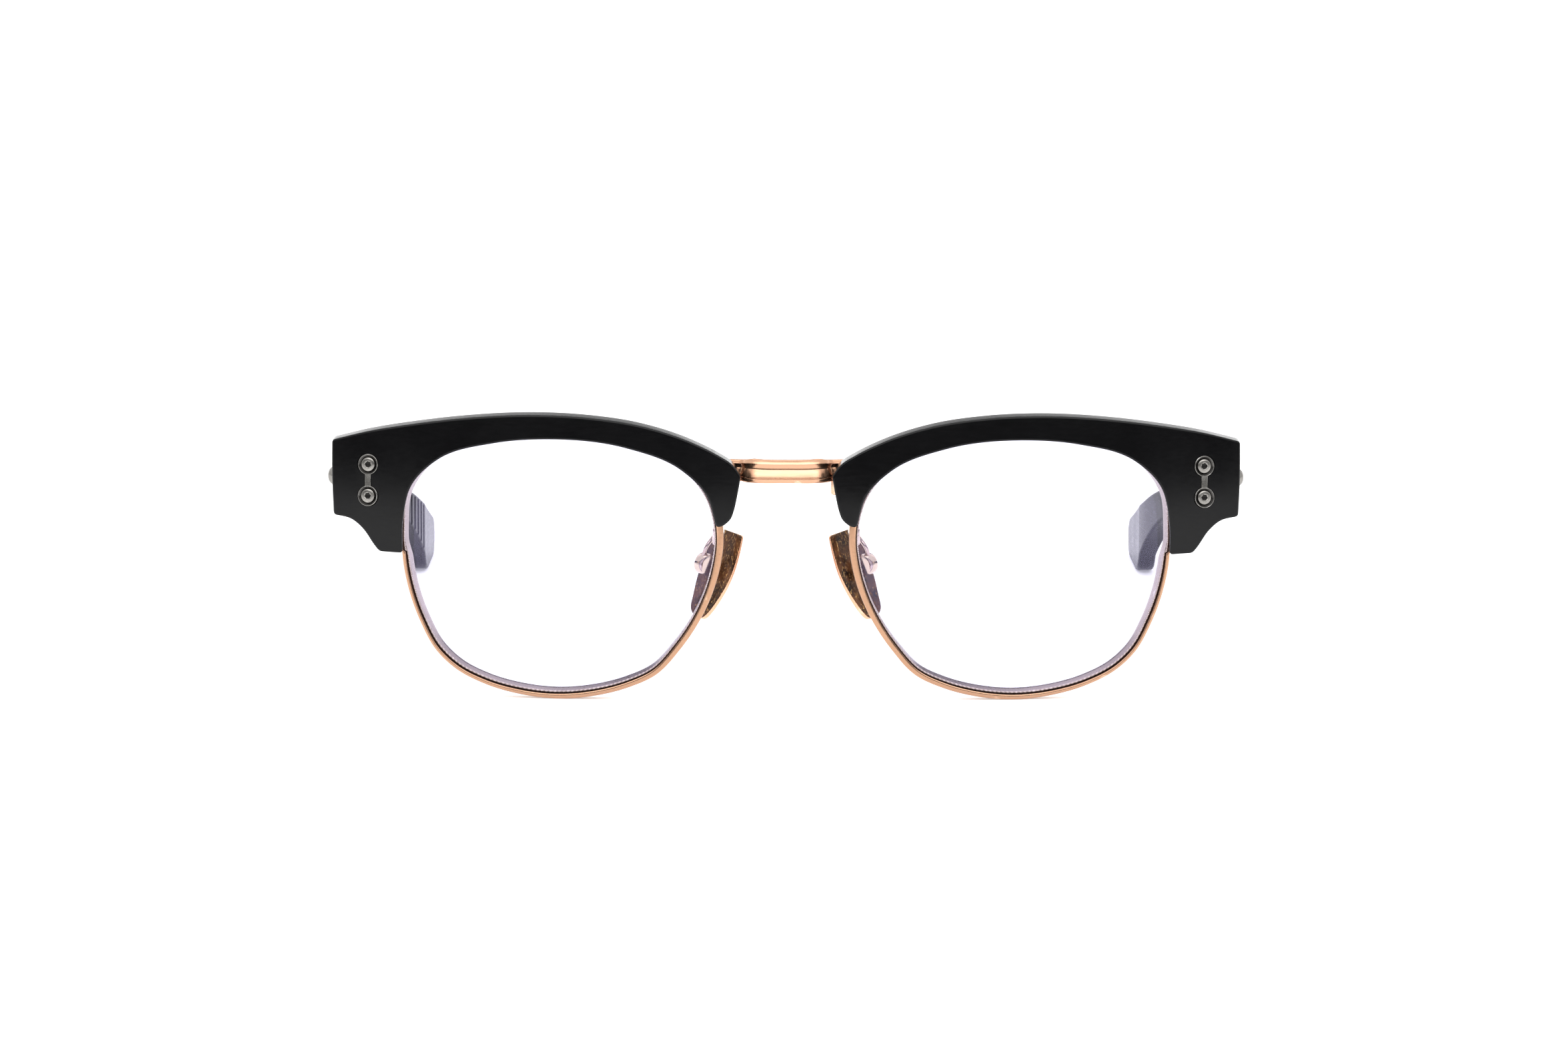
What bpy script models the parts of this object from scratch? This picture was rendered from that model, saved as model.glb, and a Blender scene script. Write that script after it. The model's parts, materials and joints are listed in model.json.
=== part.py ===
"""Browline eyeglasses: acetate brows over metal rims, with folding temples and rocking nose pads.

Everything is drawn in millimetres and set into the scene in metres. X runs across the face, +Y runs back
towards the temple tips and +Z is up. The glasses stand on a table (z = 0) on the rims and the temple tips.
Each piece is drawn once, on the wearer's left (+X), and mirrored for the wearer's right.
"""
import math

import bmesh
import bpy
from mathutils import Matrix, Vector
from mathutils.geometry import interpolate_bezier

MM = 0.001

# Fit: depths (u) are measured backwards from the curved face of the rims.
GAP = 0.3
SEAT = 0.12
DEPTH_ORIGIN = 75.6

# Curved front face
LENS_CENTRE_X = 35.5
LENS_CENTRE_Z = 21.5
BASE_CURVE_RADIUS = 150.0
WRAP_SLOPE = 0.0875

# Brow: top edge, nose end, lens edge and temple end, as (x, z)
BROW_TOP = [(72.2, 40.7), (66.4, 42.3), (59.2, 43.7), (50.7, 44.9), (40.0, 45.6), (31.6, 45.3),
            (23.2, 44.1), (14.8, 41.4), (10.6, 39.3), (8.6, 38.0), (7.2, 36.1)]
BROW_NOSE_END = [(7.2, 36.1), (7.6, 33.7), (8.3, 31.0), (9.1, 29.0), (10.0, 28.3), (11.0, 28.1)]
BROW_LENS_EDGE = [(11.0, 28.1), (12.6, 33.0), (16.8, 37.2), (25.2, 40.5), (37.9, 41.8), (46.4, 41.0),
                  (54.9, 38.4), (59.4, 34.0), (60.8, 28.2), (60.9, 23.2)]
BROW_STEP = [(60.9, 23.2), (64.2, 23.3)]
BROW_NOTCH = [(64.2, 23.3), (65.3, 24.3), (67.3, 26.9), (69.0, 28.3), (71.1, 28.8), (71.8, 29.7)]
BROW_TEMPLE_END = [(71.8, 29.7), (72.2, 35.3), (72.2, 40.7)]
BROW_FRONT = -1.5
BROW_BACK = 2.6
BROW_EDGE = 0.5

# Rim: outer outline as (x, z), and its grooved section
RIM_OUTLINE = [(61.0, 26.8), (60.8, 22.3), (59.9, 17.2), (58.2, 12.1), (55.6, 7.3), (52.6, 4.5),
               (48.1, 2.2), (42.0, 0.55), (36.3, 0.0), (30.6, 0.5), (25.0, 1.95), (20.6, 4.1),
               (16.6, 8.4), (13.3, 13.8), (11.3, 19.5), (10.4, 25.4), (11.0, 30.8), (14.3, 36.3),
               (18.7, 39.0), (25.1, 41.1), (33.7, 42.3), (42.2, 42.1), (50.8, 40.6), (57.5, 37.3),
               (60.3, 33.2)]
RIM_WIDTH = 1.1
RIM_DEPTH = 2.6
RIM_GROOVE = 0.4
RIM_EDGE = 0.12

# Lens
LENS_THICKNESS = 1.8
LENS_EDGE_INSET = RIM_WIDTH + 0.2
LENS_RIDGE = 0.4

# Bridge
BRIDGE_PATH = [(0.0, 2.2), (4.6, 2.3), (6.0, 3.0), (6.9, 4.25), (8.2, 4.65), (10.5, 4.65), (13.4, 4.65)]
BRIDGE_HEIGHT = 3.8
BRIDGE_THICKNESS = 1.4
BRIDGE_Z = 36.9
BRIDGE_DIP = 0.3
BRIDGE_LUG = (7.8, 11.6, 32.4)

# Screws
PLAQUE_X = 66.4
PLAQUE_Z = (36.85, 31.75)
PLAQUE_RADIUS = 1.6
PLAQUE_NECK = 1.0
PLAQUE_THICKNESS = 0.55
PLAQUE_POCKET = 0.7
SCREW_HEAD_RADIUS = 1.13
SCREW_SHAFT_RADIUS = 0.5
SCREW_SOCKET_RADIUS = 0.55
BROW_SCREW_X = 10.9
BROW_SCREW_Z = 36.7

# Hinge
PIVOT_X = 66.3
PIVOT_Y = 12.2
PIVOT_Z = 34.6
KNUCKLE_COUNT = 5
KNUCKLE_PITCH = 1.7
KNUCKLE_RADIUS = 1.3
KNUCKLE_SIDE_GAP = 0.06
PIN_RADIUS = 0.55
PIN_CLEARANCE = 0.07
HINGE_PLATE = 0.9

# Temple: side outline as (y, z), from the front end along the top to the tip and back along the bottom
TEMPLE_TOP = [(0.0, 39.6), (60.0, 29.4), (100.0, 20.9), (118.0, 17.0), (125.5, 14.4), (137.0, 11.1),
              (146.0, 9.0)]
TEMPLE_TIP = [(146.0, 9.0), (150.6, 7.4), (152.4, 4.8), (150.6, 1.7), (146.0, 0.0)]
TEMPLE_BOTTOM = [(134.0, 0.0), (130.0, 0.9), (126.0, 3.6), (119.5, 8.0), (112.0, 12.0), (100.0, 14.9),
                 (60.0, 22.0), (0.0, 29.8)]
TEMPLE_OUTER_X = 72.2
TEMPLE_THICKNESS = 4.2
TEMPLE_EDGE = 0.9
TEMPLE_BEND_START = 100.0
TEMPLE_BEND_END = 126.0
TEMPLE_BEND = 4.5
TEMPLE_TIP_LEAN = 0.5
CORE_WIDTH = 1.0
CORE_HEIGHT = 1.6
CORE_FRONT = (12.8, 34.5)
CORE_REAR = (99.0, 18.1)
SIDE_PLAQUE_CENTRES = ((15.6, 33.8), (20.7, 32.8))
SIDE_SCREW_REACH = 1.4

# Nose pad: its own frame has x rearwards, y upwards and z away from the nose
PAD_CENTRE = (11.3, 7.6, 19.4)
PAD_UP = (-0.363, 0.196, 0.911)
PAD_REAR = (0.620, 0.780, 0.080)
PAD_OUTLINE = [(1.9, 6.9), (0.0, 7.1), (-1.9, 6.9), (-3.1, 4.2), (-3.5, 0.0), (-3.0, -4.2), (-1.7, -6.8),
               (0.0, -7.1), (1.7, -6.8), (3.0, -4.2), (3.5, 0.0), (3.1, 4.2)]
PAD_THICKNESS = 1.6
PAD_PIVOT = (0.4, 1.0, 2.3)
PAD_SCREW_RADIUS = 0.35
PAD_BOX_HALF = 1.35
PAD_WALL = 0.45
PAD_WALL_INNER = 0.62
PAD_LUG_HALF = 0.5
PAD_ARM_RADIUS = 0.42
PAD_ARM_PATH = [(10.9, 3.5, 25.8), (10.9, 4.7, 26.5), (11.3, 5.9, 26.2), (12.2, 6.3, 25.0), (13.0, 5.9, 23.8)]

# Rim lock, behind the brow's lower corner
LOCK_LOW = (61.6, 0.7, 24.6)
LOCK_HIGH = (63.9, 2.6, 29.2)


# ---------------------------------------------------------------- outlines
def face_sag(x, z):
    """How far the curved face of the rims lies behind the lens centre."""
    out = abs(x) - LENS_CENTRE_X
    bowl = (out ** 2 + (z - LENS_CENTRE_Z) ** 2) / (2.0 * BASE_CURVE_RADIUS)
    return bowl + WRAP_SLOPE * out


def tangent(before, here, after):
    """Direction of a smooth curve at a point, weighted by the distances to its neighbours."""
    back = here - before
    ahead = after - here
    if back.length == 0.0 or ahead.length == 0.0:
        return (after - before).normalized()
    blend = back.normalized() * ahead.length + ahead.normalized() * back.length
    return blend / (back.length + ahead.length)


def smooth_run(points, spacing, closed=False):
    """Points about `spacing` apart on a smooth curve through the given points."""
    knots = [Vector(p).to_3d() for p in points]
    count = len(knots)
    if closed:
        spans = [(i - 1, i, (i + 1) % count, (i + 2) % count) for i in range(count)]
    else:
        spans = [(max(i - 1, 0), i, i + 1, min(i + 2, count - 1)) for i in range(count - 1)]
    run = []
    for a, b, c, d in spans:
        length = (knots[c] - knots[b]).length
        leave = knots[b] + tangent(knots[a], knots[b], knots[c]) * length / 3.0
        arrive = knots[c] - tangent(knots[b], knots[c], knots[d]) * length / 3.0
        steps = max(1, round(length / spacing))
        run += interpolate_bezier(knots[b], leave, arrive, knots[c], steps + 1)[:-1]
    if not closed:
        run.append(knots[-1])
    return run


def inset(outline, distance):
    """A closed outline moved inwards by a distance (outwards when negative)."""
    count = len(outline)
    area = sum(outline[i - 1].x * outline[i].y - outline[i].x * outline[i - 1].y for i in range(count))
    turn = math.copysign(1.0, area)
    moved = []
    for i, here in enumerate(outline):
        along = outline[(i + 1) % count] - outline[i - 1]
        moved.append(here + Vector((-along.y, along.x, 0.0)).normalized() * turn * distance)
    return moved


def circle(centre, radius, count=12):
    """Points round a circle."""
    turns = [2.0 * math.pi * i / count for i in range(count)]
    return [Vector((centre[0] + radius * math.cos(t), centre[1] + radius * math.sin(t), 0.0)) for t in turns]


def dumbbell(first, second, radius, neck, count=10):
    """Outline of two discs joined by a narrow bar."""
    start, end = Vector(first).to_3d(), Vector(second).to_3d()
    heading = math.atan2(end.y - start.y, end.x - start.x)
    mouth = math.asin(neck / 2.0 / radius)
    outline = []
    for centre, facing in ((start, heading), (end, heading + math.pi)):
        for i in range(count + 1):
            angle = facing + mouth + (2.0 * math.pi - 2.0 * mouth) * i / count
            outline.append(centre + Vector((math.cos(angle), math.sin(angle), 0.0)) * radius)
    return outline


# ---------------------------------------------------------------- modelling tools
FACE_PLANE = Matrix.Rotation(math.pi / 2.0, 4, "X")
SIDE_PLANE = Matrix(((0, 0, 1, 0), (1, 0, 0, 0), (0, 1, 0, 0), (0, 0, 0, 1)))


def face_outwards(shape):
    """Point every face of a closed shape outwards."""
    shape.normal_update()
    bmesh.ops.recalc_face_normals(shape, faces=shape.faces)
    if shape.calc_volume(signed=True) < 0.0:
        bmesh.ops.reverse_faces(shape, faces=shape.faces)


def bake(obj):
    """Replace an object by a plain mesh of what the viewport shows, set where the object stands."""
    if not obj.users_collection:
        bpy.context.scene.collection.objects.link(obj)
    bpy.context.view_layer.update()
    evaluated = obj.evaluated_get(bpy.context.evaluated_depsgraph_get())
    mesh = bpy.data.meshes.new_from_object(evaluated)
    mesh.transform(obj.matrix_world)
    shape = bmesh.new()
    shape.from_mesh(mesh)
    bmesh.ops.remove_doubles(shape, verts=shape.verts, dist=0.0001)
    face_outwards(shape)
    shape.to_mesh(mesh)
    shape.free()
    baked = bpy.data.objects.new(obj.name, mesh)
    bpy.context.scene.collection.objects.link(baked)
    bpy.data.objects.remove(obj)
    return baked


def spline_curve(name, dimensions, lines, closed):
    """A curve object of straight-sided splines."""
    curve = bpy.data.curves.new(name, "CURVE")
    curve.dimensions = dimensions
    for line in lines:
        spline = curve.splines.new("POLY")
        spline.points.add(len(line) - 1)
        for point, place in zip(spline.points, line):
            point.co = (*Vector(place).to_3d(), 1.0)
        spline.use_cyclic_u = closed
    return bpy.data.objects.new(name, curve)


def plate(outlines, near, far, plane=FACE_PLANE, edge=0.0):
    """A flat plate between two depths along the plane's normal, its sides pushed out to a ridge by `edge`."""
    obj = spline_curve("plate", "2D", outlines, True)
    obj.data.fill_mode = "BOTH"
    obj.data.extrude = (far - near) / 2.0 - edge
    obj.data.bevel_depth = edge
    obj.data.bevel_resolution = 0
    middle = (near + far) / 2.0
    shift = (0.0, middle, 0.0) if plane is FACE_PLANE else (middle, 0.0, 0.0)
    obj.matrix_world = Matrix.Translation(shift) @ plane
    return merged_flats(bake(obj))


def merged_flats(obj):
    """An object with the triangles of each flat side joined into one face."""
    shape = bmesh.new()
    shape.from_mesh(obj.data)
    bmesh.ops.dissolve_limit(shape, angle_limit=math.radians(0.5), verts=[], edges=shape.edges)
    shape.to_mesh(obj.data)
    shape.free()
    return obj


def swept(path, section, closed, plane):
    """A section, as (across, up), carried along a flat path."""
    profile = spline_curve("profile", "2D", [section], True)
    bpy.context.scene.collection.objects.link(profile)
    obj = spline_curve("sweep", "2D", [path], closed)
    obj.data.fill_mode = "NONE"
    obj.data.bevel_mode = "OBJECT"
    obj.data.bevel_object = profile
    obj.data.use_fill_caps = not closed
    obj.matrix_world = plane
    ring = bake(obj)
    bpy.data.objects.remove(profile)
    return ring


def tube(path, radius):
    """A round wire along a path."""
    obj = spline_curve("tube", "3D", [path], False)
    obj.data.bevel_depth = radius
    obj.data.bevel_resolution = 2
    obj.data.use_fill_caps = True
    return bake(obj)


def box(low, high, frame=Matrix()):
    """A box between two corners, in a frame of its own."""
    size = Vector(high) - Vector(low)
    middle = (Vector(high) + Vector(low)) / 2.0
    shape = bmesh.new()
    bmesh.ops.create_cube(shape, size=1.0)
    shape.transform(frame @ Matrix.Translation(middle) @ Matrix.Diagonal((*size, 1.0)))
    return from_shape(shape, "box")


def rod(start, end, radius, segments=12, frame=Matrix()):
    """A round rod between two points, in a frame of its own."""
    axis = Vector(end) - Vector(start)
    middle = (Vector(end) + Vector(start)) / 2.0
    turn = Vector((0.0, 0.0, 1.0)).rotation_difference(axis).to_matrix().to_4x4()
    shape = bmesh.new()
    bmesh.ops.create_cone(shape, cap_ends=True, segments=segments, radius1=radius, radius2=radius,
                          depth=axis.length)
    shape.transform(frame @ Matrix.Translation(middle) @ turn)
    return from_shape(shape, "rod")


def from_shape(shape, name):
    """A mesh object from a bmesh."""
    face_outwards(shape)
    mesh = bpy.data.meshes.new(name)
    shape.to_mesh(mesh)
    shape.free()
    obj = bpy.data.objects.new(name, mesh)
    bpy.context.scene.collection.objects.link(obj)
    return obj


def combined(obj, operation, others):
    """An object after a Boolean with each of the others, which are used up."""
    for other in others:
        modifier = obj.modifiers.new("combine", "BOOLEAN")
        modifier.operation = operation
        modifier.solver = "EXACT"
        modifier.object = other
        obj = bake(obj)
        bpy.data.objects.remove(other)
    return obj


def rounded(obj, width, segments, angle=35.0):
    """An object with its sharp edges rounded."""
    modifier = obj.modifiers.new("round", "BEVEL")
    modifier.width = width
    modifier.segments = segments
    modifier.limit_method = "ANGLE"
    modifier.angle_limit = math.radians(angle)
    modifier.use_clamp_overlap = True
    return bake(obj)


def turned(profile, segments, frame):
    """A turned piece from (radius, height) points that run from the top of its axis to the bottom."""
    mesh = bpy.data.meshes.new("turned")
    edges = [(i, i + 1) for i in range(len(profile) - 1)]
    mesh.from_pydata([(r, 0.0, h) for r, h in profile], edges, [])
    obj = bpy.data.objects.new("turned", mesh)
    modifier = obj.modifiers.new("turn", "SCREW")
    modifier.steps = segments
    modifier.render_steps = segments
    modifier.use_merge_vertices = True
    modifier.merge_threshold = 0.0001
    obj.matrix_world = frame
    return bake(obj)


def bisected(obj, planes):
    """An object with its faces divided where the given (place, normal) planes cross it."""
    shape = bmesh.new()
    shape.from_mesh(obj.data)
    for place, normal in planes:
        geometry = shape.verts[:] + shape.edges[:] + shape.faces[:]
        bmesh.ops.bisect_plane(shape, geom=geometry, dist=0.00001, plane_co=place, plane_no=normal)
    shape.to_mesh(obj.data)
    shape.free()
    return obj


def grid_planes(obj, spacing):
    """Upright and level planes, `spacing` apart, through an object on the face."""
    planes = []
    for axis in (0, 2):
        values = [v.co[axis] for v in obj.data.vertices]
        normal = Vector((axis == 0, 0.0, axis == 2))
        for step in range(math.ceil(min(values) / spacing), math.floor(max(values) / spacing) + 1):
            planes.append((normal * step * spacing, normal))
    return planes


def wrapped(obj, spacing=0.0):
    """An object drawn flat, laid on the curved face of the rims."""
    if spacing:
        bisected(obj, grid_planes(obj, spacing))
    shape = bmesh.new()
    shape.from_mesh(obj.data)
    for vert in shape.verts:
        vert.co.y += face_sag(vert.co.x, vert.co.z)
    bmesh.ops.triangulate(shape, faces=shape.faces)
    shape.to_mesh(obj.data)
    shape.free()
    return obj


def socket_screw(frame, head_height, shaft_length, head_radius=SCREW_HEAD_RADIUS,
                 shaft_radius=SCREW_SHAFT_RADIUS, socket_radius=SCREW_SOCKET_RADIUS):
    """A screw with its head above z = 0 of its frame, its shaft below, and a hexagon socket."""
    crown = head_height * 0.75
    profile = [(0.0, head_height), (head_radius * 0.85, head_height), (head_radius, crown),
               (head_radius, 0.0), (shaft_radius, 0.0), (shaft_radius, -shaft_length), (0.0, -shaft_length)]
    screw = turned(profile, 12, frame)
    depth = head_height * 0.6
    socket = rod((0, 0, head_height - depth), (0, 0, head_height + depth), socket_radius, 6, frame)
    return combined(screw, "DIFFERENCE", [socket])


# ---------------------------------------------------------------- pieces of the front
def brow_outline(spacing=2.6):
    """Closed outline of the acetate brow."""
    outline = []
    for stretch in (BROW_TOP, BROW_NOSE_END, BROW_LENS_EDGE, BROW_STEP, BROW_NOTCH, BROW_TEMPLE_END):
        outline += smooth_run(stretch, spacing)[:-1]
    return outline


def rim_outline(spacing=3.0):
    """Closed outer outline of the rim."""
    return smooth_run(RIM_OUTLINE, spacing, closed=True)


def make_brow():
    """Acetate brow, open at the back for the rim, the lock and the screws."""
    brow = rounded(plate([brow_outline()], BROW_FRONT, BROW_BACK), BROW_EDGE, 1, 50.0)
    behind = BROW_BACK + 2.0
    floor = BROW_FRONT + PLAQUE_POCKET
    pocket = dumbbell((PLAQUE_X, PLAQUE_Z[0]), (PLAQUE_X, PLAQUE_Z[1]), PLAQUE_RADIUS + 0.1, PLAQUE_NECK + 0.2)
    cuts = [
        plate([inset(rim_outline(), -GAP)], -GAP, behind),
        box((LOCK_LOW[0] - 1.0, LOCK_LOW[1] - GAP, 20.0), (LOCK_HIGH[0] + GAP, behind, LOCK_HIGH[2] + GAP)),
        plate([pocket], BROW_FRONT - 1.0, floor),
        rod((BROW_SCREW_X, 0.6, BROW_SCREW_Z), (BROW_SCREW_X, behind, BROW_SCREW_Z), SCREW_SHAFT_RADIUS + 0.1),
    ]
    for z in PLAQUE_Z:
        cuts.append(rod((PLAQUE_X, -2.0, z), (PLAQUE_X, behind, z), SCREW_SHAFT_RADIUS + 0.1))
    return wrapped(combined(brow, "DIFFERENCE", cuts), 6.0)


def make_rim():
    """Metal rim with a V groove round its inside."""
    middle = RIM_DEPTH / 2.0
    section = [(RIM_EDGE, 0.0), (RIM_WIDTH, 0.0), (RIM_WIDTH, middle - RIM_GROOVE),
               (RIM_WIDTH - RIM_GROOVE, middle), (RIM_WIDTH, middle + RIM_GROOVE), (RIM_WIDTH, RIM_DEPTH),
               (RIM_EDGE, RIM_DEPTH), (0.0, RIM_DEPTH - RIM_EDGE), (0.0, RIM_EDGE)]
    return wrapped(swept(rim_outline(), [(across, -back) for across, back in section], True, FACE_PLANE))


def make_lens():
    """Lens with a ridge round its edge that sits in the rim's groove."""
    edge = inset(rim_outline(4.0), LENS_EDGE_INSET)
    middle = RIM_DEPTH / 2.0
    body = plate([edge], middle - LENS_THICKNESS / 2.0, middle + LENS_THICKNESS / 2.0)
    ridge = plate([edge], middle - LENS_RIDGE - 0.05, middle + LENS_RIDGE + 0.05, edge=LENS_RIDGE)
    return wrapped(combined(body, "UNION", [ridge]), 8.0)


def make_bridge():
    """Metal bridge whose ends bend back and lie behind the brows."""
    half = smooth_run(BRIDGE_PATH, 1.3)
    path = [Vector((-p.x, p.y, 0.0)) for p in reversed(half[1:])] + half
    reach = BRIDGE_HEIGHT / 2.0
    thick = BRIDGE_THICKNESS / 2.0
    section = [(-thick, -reach + 0.4), (-thick + 0.4, -reach), (thick - 0.4, -reach), (thick, -reach + 0.4),
               (thick, reach - 0.4), (thick - 0.4, reach), (-thick + 0.4, reach), (-thick, reach - 0.4)]
    bridge = swept(path, section, False, Matrix.Translation((0.0, 0.0, BRIDGE_Z)))
    for vert in bridge.data.vertices:
        if vert.co.z > BRIDGE_Z:
            vert.co.z -= BRIDGE_DIP * max(0.0, 1.0 - (vert.co.x / BROW_TOP[-1][0]) ** 2)
    back = BRIDGE_PATH[-1][1]
    inner, outer, low = BRIDGE_LUG
    lugs = []
    holes = []
    for side in (-1.0, 1.0):
        ends = sorted((side * inner, side * outer))
        lugs.append(box((ends[0], back - 0.5, low), (ends[1], back + 0.5, BRIDGE_Z - reach + 0.7)))
        x = side * BROW_SCREW_X
        holes.append(rod((x, 3.0, BROW_SCREW_Z), (x, 7.0, BROW_SCREW_Z), SCREW_SHAFT_RADIUS + 0.1))
    return combined(combined(bridge, "UNION", lugs), "DIFFERENCE", holes)


def make_front_plaque():
    """Dumbbell plaque let into the front of the brow, open round its two screws."""
    ends = [(PLAQUE_X, z) for z in PLAQUE_Z]
    outlines = [dumbbell(*ends, PLAQUE_RADIUS, PLAQUE_NECK)]
    outlines += [circle(end, SCREW_HEAD_RADIUS + SEAT) for end in ends]
    front = BROW_FRONT - 0.1
    return wrapped(plate(outlines, front, front + PLAQUE_THICKNESS))


def make_front_screw(z):
    """Screw through the plaque and the brow into the hinge plate."""
    seat = BROW_FRONT + PLAQUE_POCKET - SEAT
    frame = Matrix.Translation((PLAQUE_X, seat, z)) @ FACE_PLANE
    reach = BROW_BACK + GAP + HINGE_PLATE * 0.35
    return wrapped(socket_screw(frame, 0.8, reach - seat))


def make_brow_screw():
    """Screw from behind, through the bridge end into the brow."""
    seat = BRIDGE_PATH[-1][1] + BRIDGE_THICKNESS / 2.0 + SEAT
    frame = Matrix.Translation((BROW_SCREW_X, seat, BROW_SCREW_Z)) @ Matrix.Rotation(-math.pi / 2.0, 4, "X")
    return socket_screw(frame, 0.7, 3.4, head_radius=1.0, socket_radius=0.45)


def make_lock_block():
    """Closing block of the rim, drilled for its screw."""
    middle_x = (LOCK_LOW[0] + LOCK_HIGH[0]) / 2.0
    middle_y = (LOCK_LOW[1] + LOCK_HIGH[1]) / 2.0
    block = rounded(box(LOCK_LOW, LOCK_HIGH), 0.2, 1)
    bore = rod((middle_x, middle_y, LOCK_LOW[2] - 1.0), (middle_x, middle_y, LOCK_HIGH[2] - 0.8),
               SCREW_SHAFT_RADIUS + 0.1)
    split = box((LOCK_LOW[0] + 0.8, LOCK_LOW[1] - 1.0, 26.8), (LOCK_HIGH[0] + 1.0, LOCK_HIGH[1] + 1.0, 27.1))
    return wrapped(combined(block, "DIFFERENCE", [bore, split]))


def make_lock_screw():
    """Screw that closes the rim's block, with its head underneath."""
    middle_x = (LOCK_LOW[0] + LOCK_HIGH[0]) / 2.0
    middle_y = (LOCK_LOW[1] + LOCK_HIGH[1]) / 2.0
    frame = Matrix.Translation((middle_x, middle_y, LOCK_LOW[2] - SEAT)) @ Matrix.Rotation(math.pi, 4, "X")
    return wrapped(socket_screw(frame, 0.6, 3.6, head_radius=0.85, socket_radius=0.4))


# ---------------------------------------------------------------- hinge
def knuckle_heights(first):
    """Low and high ends of every second knuckle, from the first or the second one up."""
    base = PIVOT_Z - KNUCKLE_COUNT * KNUCKLE_PITCH / 2.0
    for index in range(first, KNUCKLE_COUNT, 2):
        low = base + index * KNUCKLE_PITCH + KNUCKLE_SIDE_GAP
        yield low, low + KNUCKLE_PITCH - 2.0 * KNUCKLE_SIDE_GAP


def pin_bore():
    """Cutter for the hinge pin's hole."""
    return rod((PIVOT_X, PIVOT_Y, 25.0), (PIVOT_X, PIVOT_Y, 45.0), PIN_RADIUS + PIN_CLEARANCE, 16)


def make_hinge_front():
    """Hinge leaf on the back of the brow, with the outer and middle knuckles."""
    near = BROW_BACK + GAP
    leaf = box((62.6, near, PIVOT_Z - 4.4), (67.5, near + HINGE_PLATE, PIVOT_Z + 4.4))
    holes = [rod((PLAQUE_X, 0.0, z), (PLAQUE_X, 9.0, z), SCREW_SHAFT_RADIUS + 0.1) for z in PLAQUE_Z]
    leaf = wrapped(combined(leaf, "DIFFERENCE", holes), 4.4)
    joined = []
    for low, high in knuckle_heights(0):
        joined.append(rod((PIVOT_X, PIVOT_Y, low), (PIVOT_X, PIVOT_Y, high), KNUCKLE_RADIUS, 16))
        root = face_sag(PIVOT_X, low) + near + HINGE_PLATE * 0.85
        joined.append(box((PIVOT_X - 0.75, root, low), (PIVOT_X + 0.75, PIVOT_Y, high)))
    return combined(combined(leaf, "UNION", joined), "DIFFERENCE", [pin_bore()])


def make_hinge_temple():
    """Hinge leaf on the inside of the temple, with the two knuckles between."""
    outer = TEMPLE_OUTER_X - TEMPLE_THICKNESS - GAP
    start = PIVOT_Y + KNUCKLE_RADIUS + GAP
    leaf = box((outer - HINGE_PLATE, start, PIVOT_Z - 3.6), (outer, start + 8.5, PIVOT_Z + 2.6))
    leaf = rounded(leaf, 0.25, 1)
    joined = []
    for low, high in knuckle_heights(1):
        joined.append(rod((PIVOT_X, PIVOT_Y, low), (PIVOT_X, PIVOT_Y, high), KNUCKLE_RADIUS, 16))
        joined.append(box((PIVOT_X, PIVOT_Y, low), (outer - 0.05, start + 0.5, high)))
    return combined(combined(leaf, "UNION", joined), "DIFFERENCE", [pin_bore()])


def make_hinge_screw():
    """Hinge pin with a slotted head on top."""
    top = PIVOT_Z + KNUCKLE_COUNT * KNUCKLE_PITCH / 2.0
    length = KNUCKLE_COUNT * KNUCKLE_PITCH
    profile = [(0.0, 0.6), (0.9, 0.55), (1.15, 0.3), (1.15, 0.0), (PIN_RADIUS, 0.0), (PIN_RADIUS, -length),
               (0.0, -length)]
    screw = turned(profile, 16, Matrix.Translation((PIVOT_X, PIVOT_Y, top + SEAT)))
    slot = box((PIVOT_X - 2.0, PIVOT_Y - 0.15, top + SEAT + 0.35), (PIVOT_X + 2.0, PIVOT_Y + 0.15, top + 2.0))
    return combined(screw, "DIFFERENCE", [slot])


# ---------------------------------------------------------------- temple
def bend_in(y):
    """How far the temple has moved in towards the head at a depth."""
    share = min(max((y - TEMPLE_BEND_START) / (TEMPLE_BEND_END - TEMPLE_BEND_START), 0.0), 1.0)
    ease = share * share * (3.0 - 2.0 * share)
    past = max(0.0, y - TEMPLE_BEND_END)
    return TEMPLE_BEND * (0.35 * ease + 0.65 * share) + TEMPLE_TIP_LEAN * past / TEMPLE_BEND_END * 4.0


def core_bar(width, height, front, rear):
    """A straight bar along the temple's core, between two (y, z) points."""
    start = Vector((TEMPLE_OUTER_X - TEMPLE_THICKNESS / 2.0, *front))
    end = Vector((TEMPLE_OUTER_X - TEMPLE_THICKNESS / 2.0, *rear))
    along = end - start
    pitch = Matrix.Rotation(math.atan2(along.z, along.y), 4, "X")
    frame = Matrix.Translation((start + end) / 2.0) @ pitch
    half = Vector((width / 2.0, along.length / 2.0, height / 2.0))
    return box(-half, half, frame)


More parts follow.
